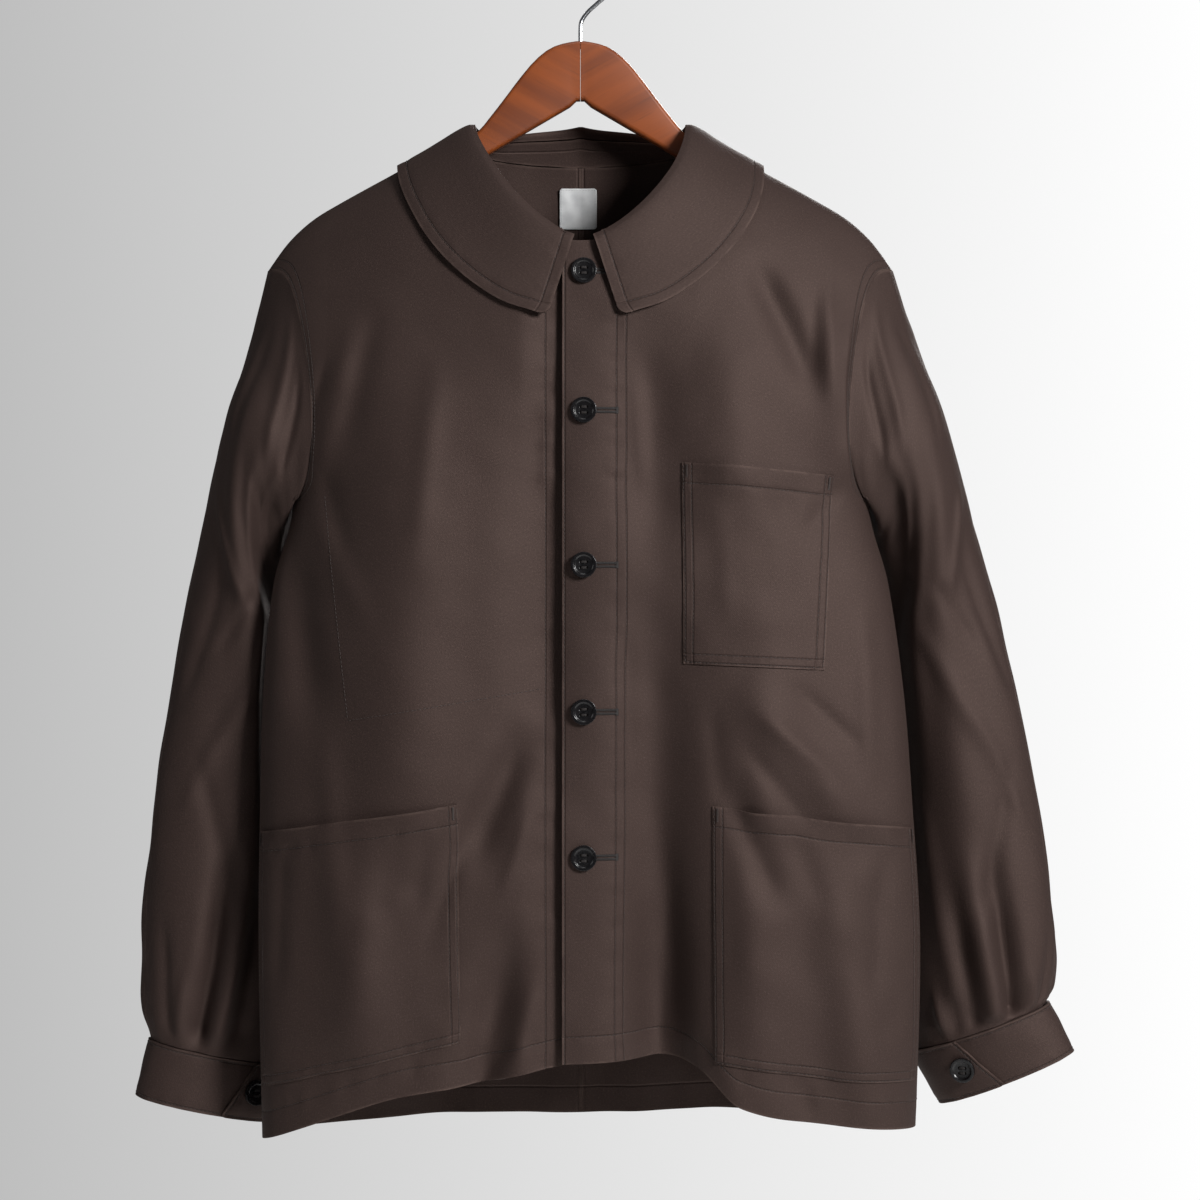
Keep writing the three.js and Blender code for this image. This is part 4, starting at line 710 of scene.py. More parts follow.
# %% Collar lines
ROLL_HALF, ROLL_FRONT_DROP, ROLL_POWER, ROLL_BACK_REACH = 79, 92, 1.333, 37
LEAF_CORNER_X, LEAF_CORNER_Z, LEAF_MIDDLE_X, LEAF_HALF = 27, -281, 17, 121
LEAF_TOP_Z, LEAF_DROP, LEAF_POWER, LEAF_BACK_REACH = -163, 118, 1.176, 104
FRONT_LINES = rows("neck leaf", (9, 9), (19, 22), (29, 35), (39, 47), (49, 58), (59.5, 68), (70, 77), (80, 84.5))
BACK_LINES = rows("neck leaf", (90, 90), (78.75, 84), (67.5, 77), (56.25, 68), (45, 56), (33.75, 43),
                  (22.5, 29), (11.25, 15), (0, 0))
COLLAR_SECTION = rows("along lift", (-0.24, 0.2), (-0.08, 0.8), (0, 2.6), (0.07, 5), (0.2, 5.6), (0.42, 5),
                      (0.66, 4.4), (0.85, 4.3), (1, 4.3))

def collar_lines():
    """Rows of x and reach at the neck seam, the roll and the leaf's edge, from right to left."""
    half = []
    for i, line in enumerate(FRONT_LINES):
        sine, cosine = (f(math.radians(line["neck"])) for f in (math.sin, math.cos))
        leaf_sine, leaf_cosine = (f(math.radians(line["leaf"])) for f in (math.sin, math.cos))
        roll_x = ROLL_HALF * sine ** ROLL_POWER
        roll_z = ridge_at(ROLL_HALF) - ROLL_FRONT_DROP * cosine ** ROLL_POWER
        leaf_x = LEAF_MIDDLE_X + LEAF_HALF * leaf_sine ** LEAF_POWER
        leaf_z = LEAF_TOP_Z - LEAF_DROP * leaf_cosine ** LEAF_POWER
        if i == 0:
            leaf_x, leaf_z = LEAF_CORNER_X, LEAF_CORNER_Z
        neck_z = ridge_at(NECK_POINT_X) - FRONT_NECK_DROP * cosine
        half.append([NECK_POINT_X * sine, -reach_of(NECK_POINT_X * sine, neck_z), roll_x, -reach_of(roll_x, roll_z),
                     leaf_x, -reach_of(leaf_x, leaf_z)])
    for line in BACK_LINES:
        sine, cosine = (f(math.radians(line["neck"])) for f in (math.sin, math.cos))
        leaf_sine, leaf_cosine = (f(math.radians(line["leaf"])) for f in (math.sin, math.cos))
        neck_z = ridge_at(NECK_POINT_X) - BACK_NECK_DROP * cosine
        half.append([NECK_POINT_X * sine, reach_of(NECK_POINT_X * sine, neck_z), ROLL_HALF * sine, ROLL_BACK_REACH * cosine,
                     (LEAF_MIDDLE_X + LEAF_HALF) * leaf_sine, LEAF_BACK_REACH * leaf_cosine])
    half = np.array(half, float)
    return np.concatenate([half * [-1, 1, -1, 1, -1, 1], half[:-1][::-1]])

COLLAR_LINES = collar_lines()

def collar_points(index, along, lift):
    """Places on the collar at line numbers and shares along each line."""
    read = [curve(range(len(COLLAR_LINES)), COLLAR_LINES[:, k])(index) for k in range(6)]
    share = np.abs(along)[:, None]
    fall = (along >= 0)[:, None]
    x = lerp(read[2], np.where(fall, read[4], read[0]), share)
    reach = lerp(read[3], np.where(fall, read[5], read[1]), share)
    points = over_shoulder(x, reach, lift)
    points[..., 0] += CLOSURE_X * smooth(-reach / 60)
    return points

# %% Collar and stand
last_line = len(COLLAR_LINES) - 1
index = edge_crowded(0, last_line, 230)
along = np.unique(np.concatenate([edge_crowded(-0.24, 1, 62), np.linspace(-0.08, 0.12, 12)]))
section = through(COLLAR_SECTION, "along", "lift")(along)[:, None]
i_grid, a_grid = np.meshgrid(index, along)
ease = smooth((a_grid - 0.1) / 0.3)
front_end = 1 - smooth(np.minimum(i_grid, last_line - i_grid) / 2.2)
lift = section + ease * (0.5 * wander(i_grid * 22, a_grid * 60, 60, 101) + 0.9 * front_end * smooth((a_grid - 0.7) / 0.3))
points = collar_points(index, along, lift)
upward = np.array([0, 0, 0.5]) + (points - np.array([0, 0, -160])) * [0.5, 1, 0.5]
sewn = [("from_top", 8), ("from_start", 8), ("from_end", 8)]
points = puckered(points, upward, sewn, depth=0.25, reach=5, pitch=12, seed=105)
points = rounded(points, 9, [("top", "start"), ("top", "end")])
cloth["collar"] = Piece("collar", points, upward)
cloth["collar"].build(wall=2.0, rim=0.7)

index = edge_crowded(2, last_line - 2, 160)
along = edge_crowded(-0.97, -0.27, 14)
points = collar_points(index, along, np.zeros((len(along), len(index))))
cloth["collar_stand"] = Piece("collar_stand", points, points - np.array([0, 0, -150]))
cloth["collar_stand"].build(wall=1.6)

# %% [markdown]
# ## Label
# The bare woven label is a small rectangle sewn inside the back, below the collar stand.

# %% Label
LABEL_X, LABEL_TOP, LABEL_WIDTH, LABEL_HEIGHT = -2, -169, 29, 31
across, down = np.linspace(-0.5, 0.5, 34), np.linspace(0, 1, 34)
a_grid, d_grid = np.meshgrid(across, down)
corner = np.maximum(np.abs(a_grid) * LABEL_WIDTH - LABEL_WIDTH / 2 + 2.5, 0) ** 2 + np.maximum(
    np.abs(d_grid - 0.5) * LABEL_HEIGHT - LABEL_HEIGHT / 2 + 2.5, 0) ** 2
pull = 1 - np.maximum(np.sqrt(corner) - 2.5, 0) / 20
x = LABEL_X + a_grid * LABEL_WIDTH * pull
z = LABEL_TOP - LABEL_HEIGHT / 2 - (d_grid - 0.5) * LABEL_HEIGHT * pull
y = body_y(x, z, 1) - CLOTH - LAY_GAP - 1.9 + 0.25 * wander(x, z, 14, 111)
cloth["neck_label"] = Piece("neck_label", np.stack([x, y, z], -1), np.array([0, -1, 0]))
cloth["neck_label"].build(wall=0.6, rim=0.2)

# %% [markdown]
# ## Thread
# Each piece gets its own thread: one row beside an edge that is turned once, two rows where a
# seam is felled, a dense bar where a pocket's mouth takes the strain, and a dense oval of short
# stitches round each buttonhole.

# %% Rows of stitching
ARMHOLE_ROW = 9
SEWN = {
    "front_left": [("from_start", 1.8, {"from_top": 4}), ("from_start", 40.5, {"from_top": 6}),
                   ("from_start", 48, {"from_top": 6}), ("from_foot", 20, {"from_start": 3})],
    "front_right": [("from_start", 46, {"from_top": 6}), ("from_foot", 20, {})],
    "back_left": [("from_foot", 20, {})], "back_right": [("from_foot", 20, {})],
    "hip_pocket_left": [(side, gap, {"from_foot": gap, "from_top": 0}) for side in ("from_start", "from_end") for gap in (1.5, 7.5)]
                       + [("from_foot", gap, {"from_start": gap, "from_end": gap}) for gap in (1.5, 7.5)]
                       + [("from_top", 15, {"from_start": 1, "from_end": 1})],
    "cuff_left": [("from_foot", 2.5, {}), ("from_top", 2.5, {}), ("from_end", 2.5, {"from_foot": 2, "from_top": 2})],
    "collar": [("from_top", 8, {"from_start": 8, "from_end": 8}), ("from_start", 8, {"from_top": 8}),
               ("from_end", 8, {"from_top": 8})],
    "collar_stand": [("from_foot", 3, {}), ("from_top", 3, {})],
    "neck_label": [("from_start", 1.2, {}), ("from_end", 1.2, {}), ("from_foot", 1.2, {}), ("from_top", 1.2, {})],
}
SEWN["hip_pocket_right"] = SEWN["chest_pocket"] = SEWN["hip_pocket_left"]
SEWN["cuff_right"] = SEWN["cuff_left"]
threads = {}
for name, lines in SEWN.items():
    threads[name] = Thread(f"thread_{name}")
    for field, gap, least in lines:
        line = contour(cloth[name], field, gap, **least)
        pitch = 2.2 if name == "neck_label" else 3.1
        threads[name].sew(line, pitch=pitch, length=pitch * 0.76, radius=0.2 if name == "neck_label" else 0.27)
print("rows of stitching on", len(threads), "pieces")

# %% Felled seams beside the armholes and shoulders
for name in PANELS:
    panel, piece = PANELS[name], cloth[name]
    for gap in (2, ARMHOLE_ROW):
        line = contour(piece, "from_end", gap, from_top=gap, from_foot=20)
        line = line[line[:, 2] > UNDERARM_Z] if name.startswith("front") or gap < 5 else line
        threads[name].sew(line)
    if name.startswith("back"):
        for gap in (2, 8):
            line = contour(piece, "from_top", gap, from_end=gap)
            threads[name].sew(line[np.abs(line[:, 0]) > NECK_POINT_X + 30])
        threads[name].sew(contour(piece, "from_start", 2.5, from_top=4, from_foot=20))

# %% Bars and buttonholes
def satin(thread, start, end, normal, width, pitch=0.55, radius=0.27):
    """Close short stitches across the line from start to end."""
    start, end = np.array(start, float), np.array(end, float)
    along = (end - start) / np.linalg.norm(end - start)
    across = np.cross(normal, along)
    for at in np.arange(0, np.linalg.norm(end - start), pitch):
        thread.add(start + along * at + normal * 0.15, across, normal, width, radius)

for name in POCKETS:
    piece = cloth[name]
    for column in (0, -1):
        place, inwards = piece.points[-1, column], piece.points[-1, 3 if column == 0 else -4]
        down = piece.points[-4, column] - place
        down /= np.linalg.norm(down)
        side_step = inwards - place
        side_step /= np.linalg.norm(side_step)
        normal = piece.normals[-4, column]
        satin(threads[name], place + side_step * 4 + down * 1.5, place + side_step * 4 + down * 11, normal, 1.8)

FRONT_BUTTON_HEIGHTS = [-246, -349.5, -464, -572.5, -680]
front = cloth["front_left"]

def on_front(x, z):
    """The nearest grid place of the left front to a front view place, with its normal."""
    gap = (front.points[..., 0] - x) ** 2 + (front.points[..., 2] - z) ** 2
    r, c = np.unravel_index(np.argmin(gap), gap.shape)
    place, normal = front.points[r, c], front.normals[r, c]
    y = place[1] - ((x - place[0]) * normal[0] + (z - place[2]) * normal[2]) / normal[1]
    return np.array([x, y, z]), normal

holes = Thread("thread_buttonholes")
HOLE_START, HOLE_END, HOLE_PARTS = 2.5, 27.5, 8
for height in FRONT_BUTTON_HEIGHTS:
    stops = np.linspace(HOLE_START, HOLE_END, HOLE_PARTS + 1)
    for side in (-1, 1):
        for start, stop in zip(stops, stops[1:]):
            (a, normal), (b, _) = on_front(start, height + 1.3 * side), on_front(stop, height + 1.3 * side)
            satin(holes, a + normal * 0.15, b + normal * 0.15, normal, 1.9, pitch=0.5, radius=0.34)
    (a, normal), (b, _) = on_front(HOLE_END, height - 2.3), on_front(HOLE_END, height + 2.3)
    satin(holes, a + normal * 0.2, b + normal * 0.2, normal, 2.4, pitch=0.5, radius=0.34)
holes.build()
INNER_POCKET = rows("from_x from_z to_x to_z", (-191, -412, -171, -579), (-171, -579, -30, -556))
right_front = cloth["front_right"]
for row in INNER_POCKET:
    found = []
    for share in np.linspace(0, 1, 60):
        x, z = lerp(row["from_x"], row["to_x"], share), lerp(row["from_z"], row["to_z"], share)
        gap = (right_front.points[..., 0] - x) ** 2 + (right_front.points[..., 2] - z) ** 2
        r, c = np.unravel_index(np.argmin(gap), gap.shape)
        place, normal = right_front.points[r, c], right_front.normals[r, c]
        y = place[1] - ((x - place[0]) * normal[0] + (z - place[2]) * normal[2]) / normal[1]
        found.append([x, y, z, *normal])
    threads["front_right"].sew(np.array(found))
for thread in threads.values():
    thread.build()

# %% [markdown]
# ## Buttons
# A polished four-hole button is turned: a disc with a raised rim, a dished middle and four
# drilled holes. One is modelled and copied to each place where the frame has a button.

# %% One button
def deselect():
    bpy.ops.object.select_all(action="DESELECT")

def edit_faces(piece, choose):
    """In edit mode, select the faces that a test picks."""
    bpy.ops.mesh.select_all(action="DESELECT")
    bpy.ops.object.mode_set(mode="OBJECT")
    for face in piece.data.polygons:
        face.select = bool(choose(face))
    bpy.ops.object.mode_set(mode="EDIT")
    bpy.ops.mesh.select_mode(type="FACE")

deselect()
bpy.ops.mesh.primitive_cylinder_add(vertices=48, radius=9.5 * MM, depth=3 * MM, location=(0, 0, 1.5 * MM))
button = bpy.context.object
button.name = "button"
bpy.ops.object.transform_apply(location=True, rotation=False, scale=False)
bpy.ops.object.mode_set(mode="EDIT")
edit_faces(button, lambda face: face.normal.z > 0.9)
bpy.ops.mesh.inset(thickness=0.5 * MM)
bpy.ops.mesh.inset(thickness=1.6 * MM)
bpy.ops.mesh.inset(thickness=0.9 * MM, depth=-0.9 * MM)
bpy.ops.mesh.inset(thickness=2.2 * MM, depth=-0.15 * MM)
bpy.ops.object.mode_set(mode="OBJECT")
deselect()
drills = []
for sx, sy in ((1, 1), (-1, 1), (-1, -1), (1, -1)):
    bpy.ops.mesh.primitive_cylinder_add(vertices=16, radius=1.05 * MM, depth=8 * MM, location=(2.1 * sx * MM, 2.1 * sy * MM, 0))
    drills.append(bpy.context.object)
pick(*drills)
bpy.ops.object.join()
drill = bpy.context.object
finish_with(button, "BOOLEAN", operation="DIFFERENCE", object=drill, solver="EXACT")
bpy.data.objects.remove(drill)
finish_with(button, "BEVEL", width=0.28 * MM, segments=3, limit_method="ANGLE", angle_limit=math.radians(35))
pick(button)
bpy.ops.object.shade_smooth_by_angle(angle=math.radians(50))
print("one button:", len(button.data.polygons), "faces")

# %% Set the buttons and sew them on
BUTTON_NODES = [f"front_button_{n}" for n in range(1, 6)] + ["cuff_button_left", "cuff_button_right"]
buttons = {}
button_thread = Thread("thread_buttons")
for name in BUTTON_NODES:
    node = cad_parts[name]
    corners = np.array([node.matrix_world @ v.co for v in node.data.vertices]) / MM
    middle = corners.mean(axis=0)
    spread, axes = np.linalg.eigh(np.cov((corners - middle).T))
    facing = Vector(axes[:, 0])
    if facing.y > 0:
        facing = -facing
    level = (corners - middle) @ np.array(facing)
    seat = Vector(middle) + facing * float(level.min() - 0.2)
    turn = facing.to_track_quat("Z", "Y")
    copy = button.copy()
    copy.data = button.data.copy()
    copy.name = f"sewn_{name}"
    bpy.context.scene.collection.objects.link(copy)
    copy.data.transform(Matrix.Translation(seat * MM) @ turn.to_matrix().to_4x4())
    buttons[name] = copy
    face = np.array(turn @ Vector((0, 0, 1)))
    for side in (-1, 1):
        for lay in (-0.55, 0, 0.55):
            here = turn @ Vector((0, 2.1 * side + lay, 2.35))
            button_thread.add(np.array(seat + here), np.array(turn @ Vector((1, 0, 0))), face, 4.6, 0.34)
bpy.data.objects.remove(button)
button_thread.build()

# %% [markdown]
# ## Hanger
# The hanger is two halves of flat wood, mitred together in the middle. Each is drawn out of a
# block: its end face is extruded from station to station, and the long edges are rounded.

# %% Wood
HANGER = rows("x top bottom thick", (0.15, -62.5, -108, 12), (12, -64, -115, 12), (24, -68.5, -122, 12), (36, -78.5, -129, 12),
              (48, -93, -136, 12), (60, -109, -143, 12), (71, -123, -149.5, 12), (79, -132.5, -154.5, 12),
              (97, -142.6, -163.5, 12))
for step in range(1, 7):
    x = lerp(97, 205, step / 6)
    top = float(ridge_at(x)) - 2 / math.cos(math.pi / 6) - 1
    end = step == 6
    HANGER += rows("x top bottom thick", (x, top - 3.2 if end else top, top - (16.7 if end else 22), 7.2 if end else 12))
top_at, bottom_at, thick_at = (through(HANGER, "x", c) for c in ("top", "bottom", "thick"))

def hanger_half(name, side):
    deselect()
    bpy.ops.mesh.primitive_cube_add(size=1)
    half = bpy.context.object
    half.name = name
    stations = [0.15, 3] + list(np.arange(8, 200, 6.0)) + [200, 205]
    bpy.ops.object.mode_set(mode="EDIT")
    low, high = bottom_at(0.15), top_at(0.15)
    bpy.ops.transform.resize(value=(2.85 * MM, 12 * MM, (high - low) * MM))
    bpy.ops.transform.translate(value=(side * 1.575 * MM, 0, (high + low) / 2 * MM))
    for last, x in zip(stations[1:], stations[2:]):
        edit_faces(half, lambda face: side * face.normal.x > 0.5 and side * face.center.x > (last - 0.5) * MM)
        bpy.ops.mesh.extrude_region_move(TRANSFORM_OT_translate={"value": (side * (x - last) * MM, 0, 0)})
        bpy.ops.object.mode_set(mode="OBJECT")
        for vertex in half.data.vertices:
            if abs(side * vertex.co.x - x * MM) < 1e-5:
                upper = vertex.co.z > (bottom_at(last) + top_at(last)) / 2 * MM
                vertex.co.z = float(top_at(x) if upper else bottom_at(x)) * MM
                vertex.co.y = math.copysign(float(thick_at(x)) / 2 * MM, vertex.co.y)
        bpy.ops.object.mode_set(mode="EDIT")
    bpy.ops.object.mode_set(mode="OBJECT")
    weights = half.data.attributes.new("bevel_weight_edge", "FLOAT", "EDGE")
    for edge in half.data.edges:
        a, b = (half.data.vertices[i].co for i in edge.vertices)
        outer_end = min(side * a.x, side * b.x) > 204 * MM
        weights.data[edge.index].value = 1 if abs(a.x - b.x) > 1e-5 or outer_end else 0
    finish_with(half, "BEVEL", width=4.4 * MM, segments=5, limit_method="WEIGHT", use_clamp_overlap=True)
    pick(half)
    bpy.ops.object.mode_set(mode="EDIT")
    bpy.ops.mesh.select_all(action="SELECT")
    bpy.ops.mesh.normals_make_consistent(inside=False)
    bpy.ops.object.mode_set(mode="OBJECT")
    bpy.ops.object.shade_smooth_by_angle(angle=math.radians(40))
    print(name, len(half.data.polygons), "faces")
    return half

hanger = {"hanger_half_left": hanger_half("wood_half_left", 1), "hanger_half_right": hanger_half("wood_half_right", -1)}

# %% [markdown]
# ## Hook
# The hook is a bent steel wire. Its middle line is drawn as a smooth path, given a round bevel
# and made a mesh.

# %% Wire
WIRE, BOW = 1.6, 21.6
path = [(0, -68), (0, -62), (0, -54), (0.8, -47), (5.5, -40), (12.5, -33.5)]
path += [(BOW * math.cos(math.radians(t)), BOW * (math.sin(math.radians(t)) - 1) + WIRE) for t in np.arange(-15, 200.1, 10.75)]
lengths_run = np.concatenate([[0], np.cumsum(np.linalg.norm(np.diff(np.array(path), axis=0), axis=1))])
wire_x, wire_z = (curve(lengths_run, [p[k] for p in path]) for k in (0, 1))
deselect()
bpy.ops.curve.primitive_nurbs_path_add()
hook = bpy.context.object
hook.name = "wire_hook"
hook.data.splines.clear()
spline = hook.data.splines.new("POLY")
stops = np.linspace(0, lengths_run[-1], 150)
spline.points.add(len(stops) - 1)
for point, at in zip(spline.points, stops):
    point.co = (float(wire_x(at)) * MM, 0, float(wire_z(at)) * MM, 1)
tips = np.concatenate([np.ones(len(stops) - 4), [0.97, 0.85, 0.6, 0.25]])
for point, radius in zip(spline.points, tips):
    point.radius = radius
hook.data.bevel_depth = WIRE * MM
hook.data.bevel_resolution = 4
hook.data.use_fill_caps = True
bpy.ops.object.convert(target="MESH")
hook = bpy.context.object
bpy.ops.object.mode_set(mode="EDIT")
bpy.ops.mesh.select_all(action="SELECT")
bpy.ops.mesh.remove_doubles(threshold=1e-6)
bpy.ops.mesh.normals_make_consistent(inside=False)
bpy.ops.object.mode_set(mode="OBJECT")
bpy.ops.object.shade_smooth_by_angle(angle=math.radians(50))
print("hook", len(hook.data.polygons), "faces")

# %% [markdown]
# ## Writing finishes as sums
# A finish is easier to read as arithmetic than as boxes and wires. A Value wraps one socket, and
# a sum on it adds the Math node. Any other node comes from one method.

# %% Values and finishes
class Value:
    """A number, colour or vector that varies over a surface."""
    def __init__(self, finish, socket):
        self.finish, self.socket = finish, socket

    def maths(self, operation, *others, clamp=False):
        settings = {"operation": operation, "use_clamp": clamp}
        return self.finish.node("ShaderNodeMath", settings, dict(enumerate([self, *others])))

    def __add__(self, other): return self.maths("ADD", other)
    __radd__ = __add__
    def __mul__(self, other): return self.maths("MULTIPLY", other)
    __rmul__ = __mul__
    def __sub__(self, other): return self.maths("SUBTRACT", other)
    def __rsub__(self, other): return self.finish.node("ShaderNodeMath", {"operation": "SUBTRACT"}, {0: other, 1: self})
    def __truediv__(self, other): return self.maths("DIVIDE", other)
    def __pow__(self, other): return self.maths("POWER", other)
    def __abs__(self): return self.maths("ABSOLUTE")

    def between(self, low, high):
        """0 below low, 1 above high, smooth between."""
        settings = {"interpolation_type": "SMOOTHSTEP"}
        return self.finish.node("ShaderNodeMapRange", settings, {"Value": self, "From Min": low, "From Max": high})

class Finish:
    """A material under construction."""
    def __init__(self, name):
        self.material = bpy.data.materials.new(name)
        self.material.use_nodes = True
        self.tree = self.material.node_tree
        self.surface = self.tree.nodes["Principled BSDF"]

    def node(self, kind, settings=None, inputs=None, out=0):
        node = self.tree.nodes.new(kind)
        for key, value in (settings or {}).items():
            setattr(node, key, value)
        for key, value in (inputs or {}).items():
            self.feed(node.inputs[key], value)
        return Value(self, node.outputs[out])

    def feed(self, socket, value):
        if isinstance(value, Value):
            self.tree.links.new(value.socket, socket)
        else:
            socket.default_value = value

    def field(self, name):
        return self.node("ShaderNodeAttribute", {"attribute_name": name}, out="Fac")

    def place(self, kind="Object"):
        return self.node("ShaderNodeTexCoord", out=kind)

    def noise(self, vector, scale, detail=3, roughness=0.55):
        return self.node("ShaderNodeTexNoise", None, {"Vector": vector, "Scale": scale, "Detail": detail,
                                                      "Roughness": roughness}, out="Fac")

    def stretched(self, vector, scale, turn=(0, 0, 0)):
        return self.node("ShaderNodeMapping", None, {"Vector": vector, "Scale": scale, "Rotation": turn})

    def mixed(self, share, first, second):
        mix = self.tree.nodes.new("ShaderNodeMix")
        mix.data_type = "RGBA"
        for socket, value in ((mix.inputs[0], share), (mix.inputs[6], first), (mix.inputs[7], second)):
            self.feed(socket, value)
        return Value(self, mix.outputs[2])

    def set(self, **sockets):
        for name, value in sockets.items():
            self.feed(self.surface.inputs[name.replace("_", " ")], value)

    def bump(self, height):
        """Relief from a height in millimetres."""
        self.set(Normal=self.node("ShaderNodeBump", None, {"Height": height, "Distance": MM, "Strength": 1.0}))

def linear(code):
    """A colour code as the linear values that a shader takes."""
    parts = [int(code[i:i + 2], 16) / 255 for i in (0, 2, 4)]
    return tuple(c / 12.92 if c <= 0.04045 else ((c + 0.055) / 1.055) ** 2.4 for c in parts) + (1,)

# %% [markdown]
# ## Moleskin
# Moleskin is a dense cotton satin, brushed and shorn to a short nap: matt, a little lighter
# where the nap is rubbed at the edges, with a faint soft sheen at grazing light. The sewn rows
# press a narrow groove, which follows the distances kept on each piece.

# %% Moleskin
DARK, MID, RUBBED = linear("201715"), linear("2a1f1d"), linear("493c37")
GROOVES = {
    "front_left": [("from_start", 1.8), ("from_start", 40.5), ("from_start", 48), ("from_foot", 20), ("from_end", 2), ("from_end", 9)],
    "front_right": [("from_start", 46), ("from_foot", 20), ("from_end", 2), ("from_end", 9)],
    "back": [("from_foot", 20), ("from_end", 2), ("from_end", 9), ("from_start", 2.5)],
    "pocket": [("from_start", 1.5), ("from_start", 7.5), ("from_end", 1.5), ("from_end", 7.5), ("from_foot", 1.5),
               ("from_foot", 7.5), ("from_top", 15)],
    "cuff": [("from_foot", 2.5), ("from_top", 2.5), ("from_end", 2.5)],
    "collar": [("from_top", 8), ("from_start", 8), ("from_end", 8)],
    "collar_stand": [("from_foot", 3), ("from_top", 3)],
    "sleeve": [],
}

def moleskin(name, grooves, dark=DARK, mid=MID):
    finish = Finish(name)
    here, cloth_way = finish.place("Object"), finish.place("UV")
    blotch = finish.noise(here, 5, detail=2).between(0.2, 0.8)
    nap = finish.noise(here, 420, detail=4, roughness=0.65)
    fibre = finish.noise(finish.stretched(cloth_way, (1, 0.45, 1)), 1500, detail=3, roughness=0.7)
    fleck = finish.noise(cloth_way, 760, detail=2, roughness=0.8)
    satin_lines = finish.node("ShaderNodeTexWave", {"wave_type": "BANDS", "bands_direction": "DIAGONAL"},
                              {"Vector": cloth_way, "Scale": 380, "Distortion": 1.4, "Detail": 2, "Detail Scale": 2}, out="Fac")
    rim = None
    for field in ("from_start", "from_end", "from_foot", "from_top"):
        distance = finish.field(field)
        rim = distance if rim is None else rim.maths("MINIMUM", distance)
    rubbed = (1 - rim.between(0.0004, 0.0022)) * finish.noise(here, 60).between(0.35, 0.6)
    colour = finish.mixed(blotch * 0.25 + nap.between(0.25, 0.75) * 0.3 + 0.2, dark, mid)
    colour = finish.mixed(fleck.between(0.52, 0.72) * 0.38, colour, RUBBED)
    colour = finish.mixed((1 - fleck.between(0.28, 0.48)) * 0.5, colour, linear("120d0c"))
    colour = finish.mixed(rubbed * 0.5, colour, RUBBED)
    height = fibre * 0.08 + nap * 0.12 + fleck * 0.16 + satin_lines * 0.02
    for field, gap in grooves:
        beside = abs(finish.field(field) - gap * MM) / (1.3 * MM)
        height = height - (1 - beside.between(0, 1)) * 0.4
    finish.set(Base_Color=colour, Roughness=0.76 - fleck * 0.1, Sheen_Weight=0.05, Sheen_Roughness=0.4,
               Sheen_Tint=linear("a58f84"), Specular_IOR_Level=0.75, Specular_Tint=linear("e0c3b8"))
    finish.bump(height)
    return finish.material

kinds = {key: moleskin(f"moleskin_{key}", grooves) for key, grooves in GROOVES.items()}
for name, piece in cloth.items():
    if name == "neck_label":
        continue
    key = next((k for k in GROOVES if name.startswith(k)), "pocket" if "pocket" in name else None)
    piece.object.data.materials.append(kinds[key])
print(len(kinds), "moleskin finishes")

# %% Label, thread, horn, wood and wire
label = Finish("woven_label")
weft = label.node("ShaderNodeTexWave", {"wave_type": "BANDS", "bands_direction": "Y"},
                  {"Vector": label.place("UV"), "Scale": 520, "Distortion": 0.6, "Detail": 1}, out="Fac")
warp = label.node("ShaderNodeTexWave", {"wave_type": "BANDS", "bands_direction": "X"},
                  {"Vector": label.place("UV"), "Scale": 760, "Distortion": 0.5, "Detail": 1}, out="Fac")
soil = label.noise(label.place("Object"), 90, detail=4)
label.set(Base_Color=label.mixed(soil.between(0.3, 0.7) * 0.5 + weft * 0.3, linear("d4d5d5"), linear("b3b4b6")),
          Roughness=0.62 - warp * 0.1, Sheen_Weight=0.2)
label.bump(weft * 0.06 + warp * 0.03)
cloth["neck_label"].object.data.materials.append(label.material)

thread_finish = Finish("thread_brown")
twist = thread_finish.noise(thread_finish.place("Object"), 900, detail=2)
thread_finish.set(Base_Color=thread_finish.mixed(twist, linear("2a2220"), linear("3c312d")), Roughness=0.6 + twist * 0.1)
label_thread = Finish("thread_pale")
twist = label_thread.noise(label_thread.place("Object"), 900, detail=2)
label_thread.set(Base_Color=label_thread.mixed(twist, linear("9c9d9f"), linear("c9cacb")), Roughness=0.6 + twist * 0.1)
for name, thread in threads.items():
    thread.object.data.materials.append((label_thread if name == "neck_label" else thread_finish).material)
buttonhole_twist = Finish("thread_dark")
twist = buttonhole_twist.noise(buttonhole_twist.place("Object"), 900, detail=2)
buttonhole_twist.set(Base_Color=buttonhole_twist.mixed(twist, linear("120e0d"), linear("221b19")), Roughness=0.6 + twist * 0.1)
for sewing in (button_thread, holes):
    sewing.object.data.materials.append(buttonhole_twist.material)

horn = Finish("button_polished")
cloud = horn.noise(horn.place("Object"), 160, detail=5).between(0.35, 0.7)
scratch = horn.noise(horn.stretched(horn.place("Object"), (1, 1, 6)), 500, detail=2)
horn.set(Base_Color=horn.mixed(cloud * 0.5, linear("060507"), linear("141112")), Roughness=0.2 + scratch * 0.14,
         Specular_IOR_Level=0.5)
horn.bump(scratch * 0.012)
for piece in buttons.values():
    piece.data.materials.append(horn.material)

